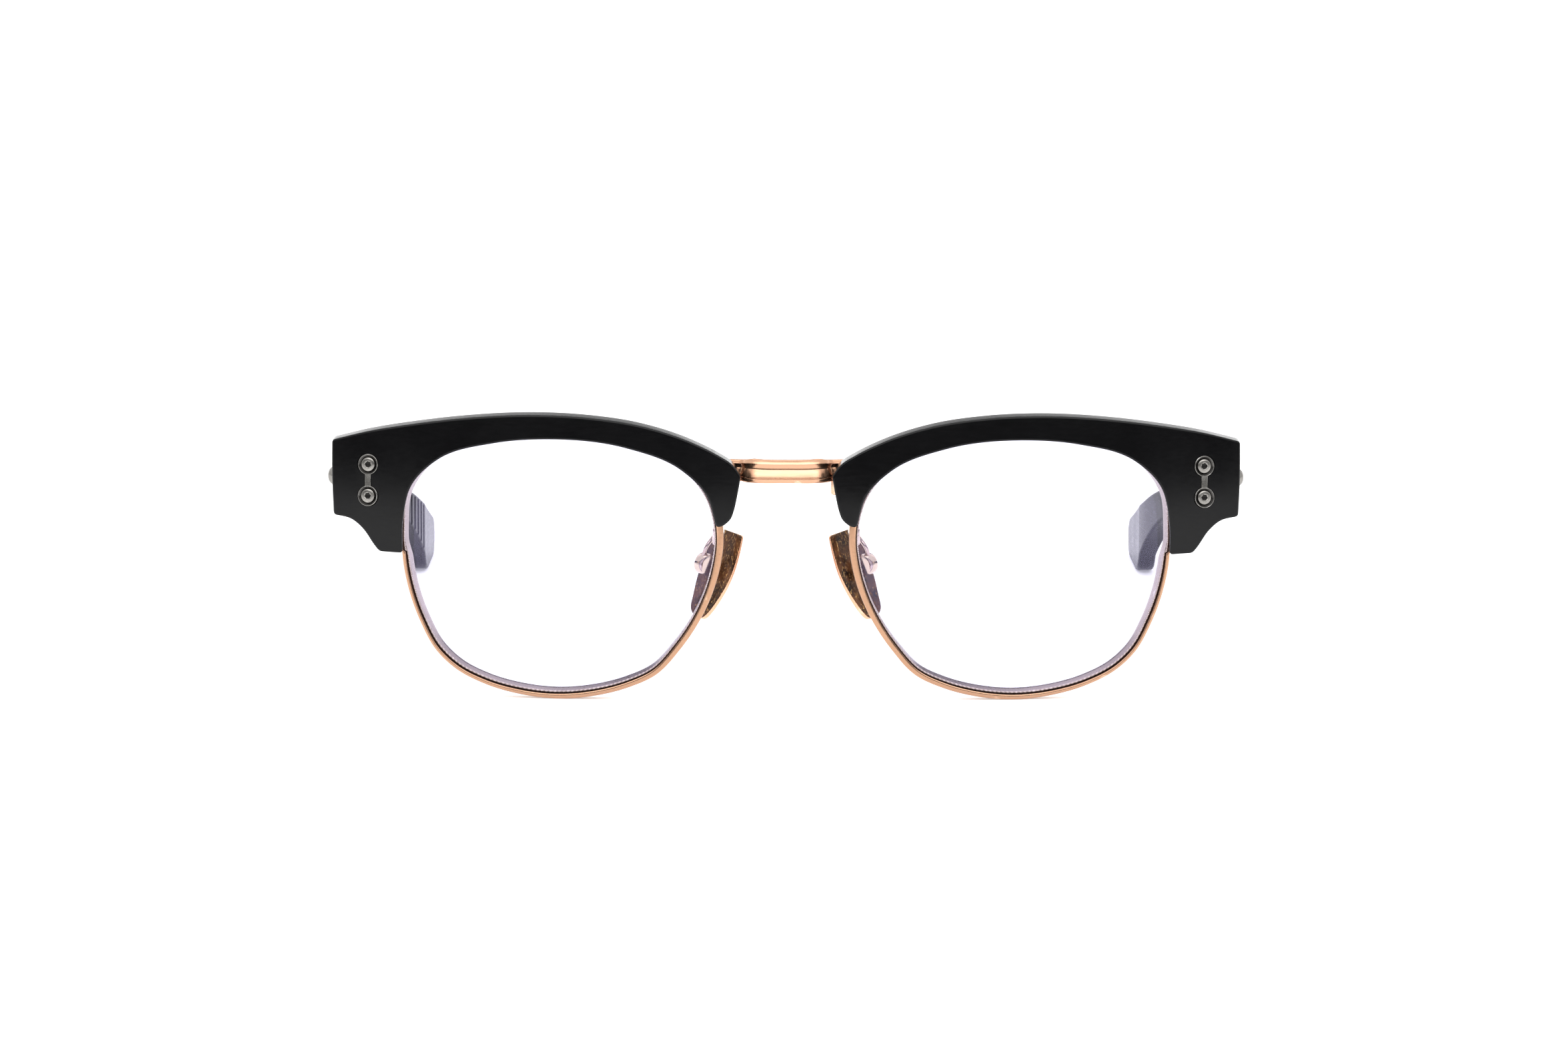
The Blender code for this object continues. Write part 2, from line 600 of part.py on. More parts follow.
def make_temple():
    """Acetate temple: a tapered bar with a paddle tip, a channel for its core and a pocket for its plaque."""
    outline = smooth_run(TEMPLE_TOP[2:], 4.5)[:-1] + smooth_run(TEMPLE_TIP, 1.8)
    outline += smooth_run(TEMPLE_BOTTOM[:6], 3.5)
    outline += [Vector(p).to_3d() for p in TEMPLE_BOTTOM[6:] + TEMPLE_TOP[:2]]
    temple = plate([outline], TEMPLE_OUTER_X - TEMPLE_THICKNESS, TEMPLE_OUTER_X, SIDE_PLANE)
    temple = rounded(temple, TEMPLE_EDGE, 2, 60.0)
    steps = range(int(TEMPLE_BEND_START), 152, 4)
    bisected(temple, [(Vector((0.0, float(y), 0.0)), Vector((0.0, 1.0, 0.0))) for y in steps])
    for vert in temple.data.vertices:
        if vert.co.y < TEMPLE_THICKNESS:
            vert.co.y += face_sag(vert.co.x, vert.co.z) + BROW_BACK + GAP
        else:
            vert.co.x -= bend_in(vert.co.y)
    pocket = dumbbell(*SIDE_PLAQUE_CENTRES, PLAQUE_RADIUS + 0.1, PLAQUE_NECK + 0.2)
    slope = (CORE_REAR[1] - CORE_FRONT[1]) / (CORE_REAR[0] - CORE_FRONT[0])
    mouth = (2.0, CORE_FRONT[1] + slope * (2.0 - CORE_FRONT[0]))
    cuts = [
        core_bar(CORE_WIDTH + 2 * GAP, CORE_HEIGHT + 2 * GAP, mouth, (CORE_REAR[0] + GAP, CORE_REAR[1])),
        plate([pocket], TEMPLE_OUTER_X - PLAQUE_POCKET, TEMPLE_OUTER_X + 2.0, SIDE_PLANE),
    ]
    return combined(temple, "DIFFERENCE", cuts)


def make_core_wire():
    """Metal core inside the temple."""
    return core_bar(CORE_WIDTH, CORE_HEIGHT, CORE_FRONT, CORE_REAR)


def make_temple_plaque():
    """Dumbbell plaque let into the outside of the temple."""
    outlines = [dumbbell(*SIDE_PLAQUE_CENTRES, PLAQUE_RADIUS, PLAQUE_NECK)]
    outlines += [circle(end, SCREW_HEAD_RADIUS + SEAT) for end in SIDE_PLAQUE_CENTRES]
    outer = TEMPLE_OUTER_X + 0.1
    return plate(outlines, outer - PLAQUE_THICKNESS, outer, SIDE_PLANE)


def make_temple_screw(centre):
    """Raised screw in the temple plaque."""
    seat = TEMPLE_OUTER_X - PLAQUE_POCKET + SEAT
    frame = Matrix.Translation((seat, *centre)) @ Matrix.Rotation(math.pi / 2.0, 4, "Y")
    profile_height = TEMPLE_OUTER_X + SIDE_SCREW_REACH - seat
    head = [(0.0, profile_height), (0.75, profile_height), (1.05, profile_height - 0.35), (1.05, 0.0), (0.0, 0.0)]
    screw = turned(head, 12, frame)
    socket = rod((0, 0, profile_height - 0.5), (0, 0, profile_height + 0.5), 0.5, 6, frame)
    return combined(screw, "DIFFERENCE", [socket])


# ---------------------------------------------------------------- nose pads
def pad_frame():
    """Frame of the nose pad: x rearwards, y upwards, z away from the nose."""
    rear = Vector(PAD_REAR).normalized()
    up = (Vector(PAD_UP) - rear * Vector(PAD_UP).dot(rear)).normalized()
    turn = Matrix((rear, up, rear.cross(up))).transposed().to_4x4()
    return Matrix.Translation(PAD_CENTRE) @ turn


def pivot_frame():
    """Frame of the nose pad with its origin on the pivot."""
    return pad_frame() @ Matrix.Translation(PAD_PIVOT)


def pad_bore():
    """Cutter along the pad's pivot."""
    return rod((-4.0, 0.0, 0.0), (4.0, 0.0, 0.0), PAD_SCREW_RADIUS + PIN_CLEARANCE, 12, pivot_frame())


def make_nose_pad():
    """Pad with the lug that its screw passes through."""
    half = PAD_THICKNESS / 2.0
    pad = plate([smooth_run(PAD_OUTLINE, 2.0, closed=True)], -half, half)
    pad.data.transform(pad_frame() @ FACE_PLANE.inverted())
    pad = rounded(bake(pad), 0.5, 1)
    lug = box((-PAD_LUG_HALF, -0.9, half - 0.3 - PAD_PIVOT[2]), (PAD_LUG_HALF, 0.9, 0.6), pivot_frame())
    return combined(combined(pad, "UNION", [lug]), "DIFFERENCE", [pad_bore()])


def make_pad_arm():
    """Wire arm from the back of the rim to the open box that holds the pad's lug."""
    inner = PAD_WALL_INNER
    outer = PAD_WALL_INNER + PAD_WALL
    half = PAD_BOX_HALF
    frame = pivot_frame()
    path = [Vector(p) for p in PAD_ARM_PATH] + [frame @ Vector((0.0, half - 0.5, half + PAD_WALL))]
    arm = tube(smooth_run(path, 1.1), PAD_ARM_RADIUS)
    joined = [box((-outer, -half, half), (outer, half, half + PAD_WALL), frame)]
    for low, high in ((-outer, -inner), (inner, outer)):
        joined.append(box((low, -half, -0.7), (high, half, half + 0.2), frame))
    joined.append(box((10.6, BROW_BACK + GAP, 24.8), (11.6, BROW_BACK + GAP + 1.0, 27.2)))
    return combined(combined(arm, "UNION", joined), "DIFFERENCE", [pad_bore()])


def make_pad_screw():
    """Pivot screw of the nose pad."""
    outer = PAD_WALL_INNER + PAD_WALL + SEAT
    frame = pivot_frame() @ Matrix.Translation((-outer, 0.0, 0.0)) @ Matrix.Rotation(-math.pi / 2.0, 4, "Y")
    return socket_screw(frame, 0.5, 2.0 * outer, head_radius=0.75, shaft_radius=PAD_SCREW_RADIUS,
                        socket_radius=0.3)


# ---------------------------------------------------------------- materials and placing
FINISHES = {
    "black_acetate": ((0.018, 0.018, 0.019), 0.12, 0.0),
    "rose_gold": ((0.83, 0.56, 0.40), 0.22, 1.0),
    "pale_gold": ((0.93, 0.80, 0.62), 0.18, 1.0),
    "gunmetal": ((0.22, 0.21, 0.20), 0.28, 1.0),
    "steel": ((0.62, 0.61, 0.60), 0.30, 1.0),
    "lens": ((0.96, 0.96, 0.98), 0.02, 0.0),
    "pad": ((0.30, 0.19, 0.12), 0.25, 0.0),
}


def finish_material(name, finish):
    """A material of the piece's own, from one of the finishes."""
    colour, roughness, metallic = FINISHES[finish]
    material = bpy.data.materials.new(name)
    material.use_nodes = True
    shader = material.node_tree.nodes["Principled BSDF"]
    shader.inputs["Base Color"].default_value = (*colour, 1.0)
    shader.inputs["Roughness"].default_value = roughness
    shader.inputs["Metallic"].default_value = metallic
    if finish == "lens":
        shader.inputs["Transmission Weight"].default_value = 1.0
    return material


def place(obj, name, finish, origin=(0.0, 0.0, 0.0), side=1.0):
    """Set a finished piece into the scene in metres, on one side, with its origin at a given point."""
    mesh = obj.data.copy()
    flip = Matrix.Diagonal((side, 1.0, 1.0, 1.0))
    mesh.transform(flip @ Matrix.Translation(-Vector(origin)))
    if side < 0.0:
        mesh.flip_normals()
    mesh.transform(Matrix.Scale(MM, 4))
    mesh.shade_smooth()
    mesh.set_sharp_from_angle(angle=math.radians(32.0))
    mesh.materials.clear()
    mesh.materials.append(finish_material(name, finish))
    mesh.name = name
    piece = bpy.data.objects.new(name, mesh)
    shift = Vector((0.0, -DEPTH_ORIGIN, 0.0))
    piece.location = (flip @ Vector(origin) + shift) * MM
    return piece


def clear_scene():
    """Remove whatever the scene holds."""
    for obj in list(bpy.data.objects):
        bpy.data.objects.remove(obj)


def build():
    """Model every piece of the eyeglasses."""
    clear_scene()
    glasses = bpy.data.collections.new("browline_eyeglasses")
    bpy.context.scene.collection.children.link(glasses)

    hinge_origin = (PIVOT_X, PIVOT_Y, PIVOT_Z)
    pad_origin = tuple(pivot_frame().translation)
    still = (0.0, 0.0, 0.0)
    paired = [
        ("brow", make_brow(), "black_acetate", still),
        ("rim", make_rim(), "rose_gold", still),
        ("lens", make_lens(), "lens", still),
        ("front_plaque", make_front_plaque(), "gunmetal", still),
        ("front_screw_upper", make_front_screw(PLAQUE_Z[0]), "gunmetal", still),
        ("front_screw_lower", make_front_screw(PLAQUE_Z[1]), "gunmetal", still),
        ("brow_screw", make_brow_screw(), "steel", still),
        ("rim_lock_block", make_lock_block(), "rose_gold", still),
        ("rim_lock_screw", make_lock_screw(), "steel", still),
        ("hinge_front", make_hinge_front(), "pale_gold", still),
        ("hinge_screw", make_hinge_screw(), "steel", still),
        ("pad_arm", make_pad_arm(), "pale_gold", still),
        ("pad_screw", make_pad_screw(), "steel", still),
        ("nose_pad", make_nose_pad(), "pad", pad_origin),
        ("temple", make_temple(), "black_acetate", hinge_origin),
        ("temple_core_wire", make_core_wire(), "steel", hinge_origin),
        ("temple_plaque", make_temple_plaque(), "gunmetal", hinge_origin),
        ("temple_screw_front", make_temple_screw(SIDE_PLAQUE_CENTRES[0]), "gunmetal", hinge_origin),
        ("temple_screw_rear", make_temple_screw(SIDE_PLAQUE_CENTRES[1]), "gunmetal", hinge_origin),
        ("hinge_temple", make_hinge_temple(), "pale_gold", hinge_origin),
    ]
    pieces = []
    for name, obj, finish, origin in paired:
        for hand, side in (("left", 1.0), ("right", -1.0)):
            pieces.append(place(obj, hand + "_" + name, finish, origin, side))
        bpy.data.objects.remove(obj)
    bridge = make_bridge()
    pieces.append(place(bridge, "bridge", "pale_gold"))
    bpy.data.objects.remove(bridge)
    for piece in pieces:
        glasses.objects.link(piece)


build()
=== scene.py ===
"""Looks of the browline eyeglasses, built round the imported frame.

Pieces are drawn in millimetres, with y = 0 at the front of the lens centres, x across the face, y back along
the temples and z up from the table, and are then set into the frame in metres. Each paired piece is drawn
once, on the wearer's left (+x), and mirrored for the wearer's right.
"""
import json
import math

import bmesh
import bpy
from mathutils import Matrix, Vector
from mathutils.geometry import interpolate_bezier


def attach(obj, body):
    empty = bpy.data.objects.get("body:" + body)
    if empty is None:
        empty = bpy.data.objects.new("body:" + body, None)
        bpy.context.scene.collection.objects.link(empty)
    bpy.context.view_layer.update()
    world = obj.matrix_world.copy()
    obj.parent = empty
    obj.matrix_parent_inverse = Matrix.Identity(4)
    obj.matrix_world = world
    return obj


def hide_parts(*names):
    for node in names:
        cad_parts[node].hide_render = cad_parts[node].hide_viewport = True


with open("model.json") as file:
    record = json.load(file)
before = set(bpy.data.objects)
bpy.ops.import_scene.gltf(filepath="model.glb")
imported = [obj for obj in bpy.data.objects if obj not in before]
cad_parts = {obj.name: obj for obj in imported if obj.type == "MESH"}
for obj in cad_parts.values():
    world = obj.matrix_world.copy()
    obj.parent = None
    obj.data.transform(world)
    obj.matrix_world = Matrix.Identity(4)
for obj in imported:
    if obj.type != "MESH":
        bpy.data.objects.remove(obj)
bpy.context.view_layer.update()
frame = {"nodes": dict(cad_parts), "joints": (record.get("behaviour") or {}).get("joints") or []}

MM = 0.001
X_AXIS = Vector((1.0, 0.0, 0.0))
Y_AXIS = Vector((0.0, 1.0, 0.0))
Z_AXIS = Vector((0.0, 0.0, 1.0))
JOINTS = {joint["name"]: joint for joint in frame["joints"]}
SIDES = (("left", 1.0), ("right", -1.0))

# Hinge and its place in the frame
PIVOT = Vector((66.3, 12.2, 34.6))
DEPTH_ORIGIN = PIVOT.y - JOINTS["left_temple_hinge"]["pos_m"][1] / MM

# Clearance between neighbouring pieces, and how far a screw stands off its seat
GAP = 0.3
SEAT = 0.12

# How far a cutting shape reaches past what it cuts
CUT_PAST = 1.0

# Meshing: steps round an edge, an arc and a wire, where a curved piece is divided, and what stays sharp
EDGE_STEPS = 4
BEVEL_STEPS = 3
ARC_STEPS = 36
WIRE_SIDES = 16
SLICE_REACH = 0.0001
FLAT_FACING = 0.9
SHARP_ANGLE = math.radians(38.0)

# Curved front face
LENS_CENTRE_X = 35.5
LENS_CENTRE_Z = 21.5
BASE_CURVE_RADIUS = 150.0
WRAP_SLOPE = 0.0875

# Brow: top edge, nose end, lens edge and temple end, as (x, z)
BROW_TOP = [(72.2, 40.7), (66.4, 42.3), (59.2, 43.7), (50.7, 44.9), (40.0, 45.6), (31.6, 45.3),
            (23.2, 44.1), (14.8, 41.4), (10.6, 39.3), (8.6, 38.0), (7.2, 36.1)]
BROW_NOSE_END = [(7.2, 36.1), (7.7, 33.3), (8.4, 30.3), (8.8, 29.3), (9.3, 28.8), (10.05, 28.25),
                 (11.05, 28.05)]
BROW_LENS_EDGE = [(11.05, 28.05), (12.6, 33.0), (16.8, 37.2), (25.2, 40.5), (37.9, 41.8), (46.4, 41.0),
                  (54.9, 38.4), (59.4, 34.0), (60.8, 28.2), (60.9, 23.2)]
BROW_STEP = [(60.9, 23.2), (64.6, 23.3)]
BROW_NOTCH = [(64.6, 23.3), (65.35, 24.2), (67.3, 26.9), (69.0, 28.25), (71.95, 28.85)]
BROW_TEMPLE_END = [(71.95, 28.85), (72.2, 35.3), (72.2, 40.7)]
BROW_FRONT = -1.5
BROW_BACK = 2.6
BROW_EDGES = (0.24, 0.3)
BROW_BORDER = 0.14
BROW_GRID = 1.6

# Rim: outer outline as (x, z); a front lip, a recess behind it painted dark as shade, and a paler liner with
# beading
RIM_OUTLINE = [(61.15, 26.8), (61.0, 22.3), (60.05, 17.2), (58.25, 12.1), (55.6, 7.3), (52.6, 4.5),
               (48.1, 2.2), (42.0, 0.55), (36.3, 0.0), (30.6, 0.5), (25.0, 1.95), (20.6, 4.05),
               (16.7, 8.3), (14.8, 11.0), (13.0, 14.2), (11.4, 18.1), (10.4, 21.9), (9.95, 25.6),
               (10.15, 28.6), (10.95, 31.6), (14.3, 36.3), (18.7, 39.0), (25.1, 41.1), (33.7, 42.3),
               (42.2, 42.1), (50.8, 40.6), (57.5, 37.3), (60.4, 33.2)]
RIM_LIP = [(10.0, 1.06), (14.0, 0.98), (36.0, 0.8), (57.0, 0.58)]
RIM_RECESS = [(12.0, 0.09), (36.0, 0.13), (56.0, 0.17)]
RIM_LINER = 0.3
RIM_BACK = 2.6
RIM_TUCKED = [(10.5, 1.45), (13.0, 1.15), (18.7, 0.7), (25.0, 0.5), (32.0, 0.4), (56.0, 0.4),
              (60.5, 0.48)]
BROW_LOW_TEMPLE = 23.2
BROW_LOW_NOSE = 28.1
LIP_NARROWS = (0.0, 0.1)
LINER_TUCKS = (-1.4, 2.3)
BEAD_PITCH = 0.72
BEAD_RADIUS = 0.19
BEAD_DEPTH = 0.58
BEAD_STEPS = 6
BEAD_SIDES = 10

# Lens
LENS_HOLD = 0.12
LENS_FRONT = 0.62
LENS_BACK = 2.1
LENS_GRID = 3.0

# Bridge: path as (x, y), and its section as (depth, height)
BRIDGE_PATH = [(0.0, 2.2), (4.6, 2.3), (6.0, 3.0), (6.9, 4.25), (8.2, 4.65), (10.5, 4.65), (13.4, 4.65)]
BRIDGE_Z = 36.65
BRIDGE_DIP = 0.3
BRIDGE_END_DROP = 0.55
BRIDGE_HALF = 2.0
BRIDGE_SECTION = [(0.45, 2.0), (-0.05, 2.0), (-0.15, 1.97), (-0.2, 1.9), (-0.46, 1.32), (-0.47, 1.28),
                  (-0.45, 1.24), (-0.4, 1.12), (-0.37, 0.95), (-0.36, 0.7), (-0.36, 0.36), (-0.38, 0.3),
                  (-0.41, 0.22), (-0.86, -0.95), (-0.87, -1.03), (-0.82, -1.09), (-0.66, -1.12),
                  (-0.66, -1.2), (-0.8, -1.23), (-0.85, -1.29), (-0.86, -1.4), (-0.84, -1.56),
                  (-0.77, -1.74), (-0.64, -1.89), (-0.4, -1.98), (0.0, -2.0), (0.4, -2.0),
                  (0.58, -1.94), (0.68, -1.75), (0.7, -1.4), (0.7, 1.4), (0.68, 1.72), (0.6, 1.94)]
BRIDGE_END_BACK = BRIDGE_PATH[-1][1]
LUG_LOW = 32.4
LUG_OUTER = 11.6
LUG_INNER = {"left": 7.1, "right": 7.8}
LUG_HALF_DEPTH = 0.45
BROW_SCREW_X = 10.9
BROW_SCREW_Z = 36.7

# Plaques and their screws
PLAQUE_X = 66.4
PLAQUE_Z = (37.1, 32.1)
FRONT_PLAQUE_CENTRES = [(PLAQUE_X, z) for z in PLAQUE_Z]
PLAQUE_RADIUS = 1.65
PLAQUE_NECK = 1.0
PLAQUE_THICKNESS = 0.55
PLAQUE_POCKET = 0.7
PLAQUE_PROUD = 0.1
HEAD_RADIUS = 1.13
SHAFT_RADIUS = 0.5
SIDE_PLAQUE_CENTRES = ((15.6, 33.8), (20.7, 32.8))
SIDE_SCREW_REACH = 1.15

# Hinge
KNUCKLE_COUNT = 5
KNUCKLE_PITCH = 1.7
KNUCKLE_RADIUS = 1.3
KNUCKLE_SIDE_GAP = 0.06
PIN_RADIUS = 0.55
HINGE_PLATE = 0.9
LEAF_GRID = 2.2
FRONT_LEAF_X = (62.6, 67.5)
FRONT_LEAF_HALF = 4.4
TEMPLE_LEAF_Z = (-3.6, 2.6)
TEMPLE_LEAF_LENGTH = 8.5
RIVET_Z = (-2.3, 1.3)
RIVET_BACK = 5.6

# Temple: side outline as (y, z), from the front end along the top to the tip and back along the bottom
TEMPLE_TOP = [(0.0, 39.6), (60.0, 29.4), (100.0, 20.9), (117.0, 16.2), (125.5, 13.2), (137.0, 10.1),
              (146.0, 7.9)]
TEMPLE_TIP = [(146.0, 7.9), (150.1, 6.7), (152.1, 4.9), (152.3, 2.6), (150.8, 0.5), (147.0, 0.0)]
TEMPLE_BOTTOM = [(134.0, 0.0), (130.0, 0.9), (126.0, 3.6), (119.5, 8.0), (112.0, 12.0), (100.0, 14.9),
                 (60.0, 22.0), (0.0, 29.8)]
TEMPLE_OUTER_X = 72.2
TEMPLE_THICKNESS = 4.2
TEMPLE_INNER_X = TEMPLE_OUTER_X - TEMPLE_THICKNESS
TEMPLE_EDGE = 0.55
TEMPLE_BEND_START = 100.0
TEMPLE_BEND_END = 126.0
TEMPLE_BEND = 4.8
TEMPLE_BEND_EASE = 0.35
TEMPLE_TAPER = 1.1
TEMPLE_TIP_LEAN = 2.0 / TEMPLE_BEND_END
TEMPLE_SLICE = 1.5
FLUTES = [104.2 + 2.25 * i for i in range(10)]
FLUTE_RADIUS = 0.58
FLUTE_AXIS_OUT = 0.25

# Nose pad: its own frame has x rearwards, y upwards and z away from the nose
PAD_CENTRE = (11.3, 7.6, 19.4)
PAD_UP = (-0.363, 0.196, 0.911)
PAD_REAR = (0.620, 0.780, 0.080)
PAD_OUTLINE = [(-2.5, 7.05), (-3.2, 4.4), (-3.7, 1.2), (-3.55, -1.6), (-2.9, -4.3), (-2.05, -6.4),
               (-1.2, -7.5), (0.2, -7.6), (1.5, -6.9), (2.4, -4.2), (3.05, -1.2), (3.3, 2.0),
               (3.1, 5.0), (2.5, 7.15)]
PAD_HALF = 0.8
PAD_SHELL = 0.42
PAD_SHELL_SWELL = 0.22
PAD_PIVOT = (0.4, 1.0, 2.3)
PAD_SCREW_RADIUS = 0.35
BARREL_RADIUS = 1.5
BARREL_HALF = 1.07
BARREL_SLOT = 0.62
BARREL_STRETCH = 1.17
BARREL_DROP = 0.28
PAD_ARM_RADIUS = 0.42
PAD_ARM_END_RADIUS = 0.38
PAD_ARM_PATH = [(10.9, 3.5, 25.8), (10.9, 4.6, 26.3), (11.1, 5.6, 26.0), (11.7, 6.1, 25.1),
                (12.5, 6.0, 24.0)]

# Rim lock, behind the brow's lower corner
LOCK_LOW = Vector((61.6, 0.7, 24.6))
LOCK_HIGH = Vector((63.9, 2.6, 29.2))
LOCK_SPLIT_INWARDS = 0.8
LOCK_SPLIT = (26.8, 27.05)

# Surround: where it is dark, as (axis, start, end) of the direction; and where it is brighter behind
DARK_IN_FRONT = (("Y", -0.2, -0.7), ("Z", 0.42, 0.2))
DARK_BEHIND = (("Z", 0.085, 0.12), ("Z", 0.55, 0.4), ("Y", 0.75, 0.9))
BRIGHT_BEHIND = ("Y", 0.5, 0.9, 1.2, 2.2)

# Camera: what it aims at in millimetres, its distance and sideways shift in metres, and its angles
CAMERA_AIM = (-0.37, -DEPTH_ORIGIN, 28.6)
CAMERA_DISTANCE = 1.06
CAMERA_SIDEWAYS = -0.0056
CAMERA_TILT = math.radians(8.6)
CAMERA_ROLL = math.radians(0.17)
CAMERA_LENS = 153.9


# ---- outlines
def share_of(value, start, end):
    """How far a value is from start to end, held at 0 and 1."""
    return min(max((value - start) / (end - start), 0.0), 1.0)


def gentle(share):
    """A share from 0 to 1 that starts and ends slowly."""
    return share * share * (3.0 - 2.0 * share)


def blended(table, x):
    """Value at x of a table of (x, value) points, held at its ends."""
    for (x0, v0), (x1, v1) in zip(table, table[1:]):
        if x <= x1:
            return v0 + (v1 - v0) * share_of(x, x0, x1)
    return table[-1][1]


def around(count):
    """Angles evenly spread round a circle."""
    return [2.0 * math.pi * i / count for i in range(count)]


def face_sag(x, z):
    """How far the curved face of the rims lies behind the lens centre."""
    out = abs(x) - LENS_CENTRE_X
    return (out ** 2 + (z - LENS_CENTRE_Z) ** 2) / (2.0 * BASE_CURVE_RADIUS) + WRAP_SLOPE * out


def face_inwards(x, z):
    """Direction straight into the curved face of the rims."""
    slope_x = (abs(x) - LENS_CENTRE_X) / BASE_CURVE_RADIUS + WRAP_SLOPE
    slope_z = (z - LENS_CENTRE_Z) / BASE_CURVE_RADIUS
    return Vector((-math.copysign(slope_x, x), 1.0, -slope_z)).normalized()


def on_face(x, depth, z):
    """A point at a depth square to the curved face."""
    return Vector((x, face_sag(x, z), z)) + face_inwards(x, z) * depth


def tangent(before, here, after):
    """Direction of a smooth curve at a point, weighted by the distances to its neighbours."""
    back = here - before
    ahead = after - here
    if back.length == 0.0 or ahead.length == 0.0:
        return (after - before).normalized()
    blend = back.normalized() * ahead.length + ahead.normalized() * back.length
    return blend / (back.length + ahead.length)


def smooth_run(points, spacing, closed=False):
    """Points about `spacing` apart on a smooth curve through the given points."""
    knots = [Vector(p).to_3d() for p in points]
    count = len(knots)
    if closed:
        spans = [(i - 1, i, (i + 1) % count, (i + 2) % count) for i in range(count)]
    else:
        spans = [(max(i - 1, 0), i, i + 1, min(i + 2, count - 1)) for i in range(count - 1)]
    run = []
    for a, b, c, d in spans:
        length = (knots[c] - knots[b]).length
        leave = knots[b] + tangent(knots[a], knots[b], knots[c]) * length / 3.0
        arrive = knots[c] - tangent(knots[b], knots[c], knots[d]) * length / 3.0
        steps = max(1, round(length / spacing))
        run += interpolate_bezier(knots[b], leave, arrive, knots[c], steps + 1)[:-1]
    if not closed:
        run.append(knots[-1])
    return run


def inset(outline, distance):
    """A closed outline moved inwards by a distance (outwards when negative)."""
    count = len(outline)
    area = sum(outline[i - 1].x * outline[i].y - outline[i].x * outline[i - 1].y for i in range(count))
    turn = math.copysign(1.0, area)
    moved = []
    for i, here in enumerate(outline):
        along = outline[(i + 1) % count] - outline[i - 1]
        moved.append(here + Vector((-along.y, along.x, 0.0)).normalized() * turn * distance)
    return moved


def eased(outline, spacing, passes):
    """A closed outline with even spacing and its corners eased."""
    count = len(outline)
    lengths = [(outline[(i + 1) % count] - outline[i]).length for i in range(count)]
    total = sum(lengths)
    wanted = round(total / spacing)
    points = []
    index, gone = 0, 0.0
    for k in range(wanted):
        target = total * k / wanted
        while gone + lengths[index] < target:
            gone += lengths[index]
            index += 1
        share = (target - gone) / lengths[index]
        points.append(outline[index].lerp(outline[(index + 1) % count], share))
    for _ in range(passes):
        points = [(points[i - 1] + points[i] * 2.0 + points[(i + 1) % wanted]) / 4.0 for i in range(wanted)]
    return points


def dumbbell(first, second, radius, neck):
    """Outline of two discs joined by a narrow bar."""
    start, end = Vector(first).to_3d(), Vector(second).to_3d()
    heading = math.atan2(end.y - start.y, end.x - start.x)
    mouth = math.asin(neck / 2.0 / radius)
    outline = []
    for centre, inwards in ((start, heading), (end, heading + math.pi)):
        for i in range(ARC_STEPS + 1):
            angle = inwards + mouth + (2.0 * math.pi - 2.0 * mouth) * i / ARC_STEPS
            outline.append(centre + Vector((math.cos(angle), math.sin(angle), 0.0)) * radius)
    return outline


# ---- modelling tools
def linked(name, data):
    """A new object in the scene that shows some data."""
    obj = bpy.data.objects.new(name, data)
    bpy.context.scene.collection.objects.link(obj)
    return obj


def from_shape(shape):
    """A mesh object from a bmesh, with its faces turned outwards."""
    shape.normal_update()
    bmesh.ops.recalc_face_normals(shape, faces=shape.faces)
    if shape.calc_volume(signed=True) < 0.0:
        bmesh.ops.reverse_faces(shape, faces=shape.faces)
    mesh = bpy.data.meshes.new("piece")
    shape.to_mesh(mesh)
    shape.free()
    return linked("piece", mesh)


def baked(obj):
    """A plain mesh object of what an object's modifiers show."""
    bpy.context.view_layer.update()
    evaluated = obj.evaluated_get(bpy.context.evaluated_depsgraph_get())
    mesh = bpy.data.meshes.new_from_object(evaluated)
    shape = bmesh.new()
    shape.from_mesh(mesh)
    shape.transform(obj.matrix_world)
    bpy.data.meshes.remove(mesh)
    bpy.data.objects.remove(obj)
    return from_shape(shape)


def loft(rings, looped=False):
    """A closed skin over rings of points."""
    shape = bmesh.new()
    rows = [[shape.verts.new(point) for point in ring] for ring in rings]
    following = rows[1:] + rows[:1] if looped else rows[1:]
    for row, after in zip(rows, following):
        for i in range(len(row)):
            shape.faces.new((row[i - 1], row[i], after[i], after[i - 1]))
    if not looped:
        shape.faces.new(rows[0])
        shape.faces.new(rows[-1])
    return from_shape(shape)


def front_plane(a, b, depth):
    """A point of a piece drawn on the face of the glasses."""
    return Vector((a, depth, b))


def side_plane(a, b, depth):
    """A point of a piece drawn on the side of the glasses."""
    return Vector((depth, a, b))


def pad_plane(a, b, depth):
    """A point of a piece drawn in its own frame."""
    return Vector((a, b, depth))


def slab(outline, near, far, near_edge=0.0, far_edge=0.0, plane=front_plane, border=0.0):
    """A plate between two depths, with rounded edges and a flat border inside the near one."""
    levels = [(near_edge + border, near)] if border else []
    for edge, start, sign in ((near_edge, near, 1.0), (far_edge, far, -1.0)):
        turns = [math.pi / 2.0 * i / EDGE_STEPS for i in range(EDGE_STEPS + 1)] if edge else [math.pi / 2.0]
        ring = [(edge * (1.0 - math.sin(t)), start + sign * edge * (1.0 - math.cos(t))) for t in turns]
        levels += ring if sign > 0.0 else ring[::-1]
    return loft([[plane(p.x, p.y, depth) for p in inset(outline, across)] for across, depth in levels])


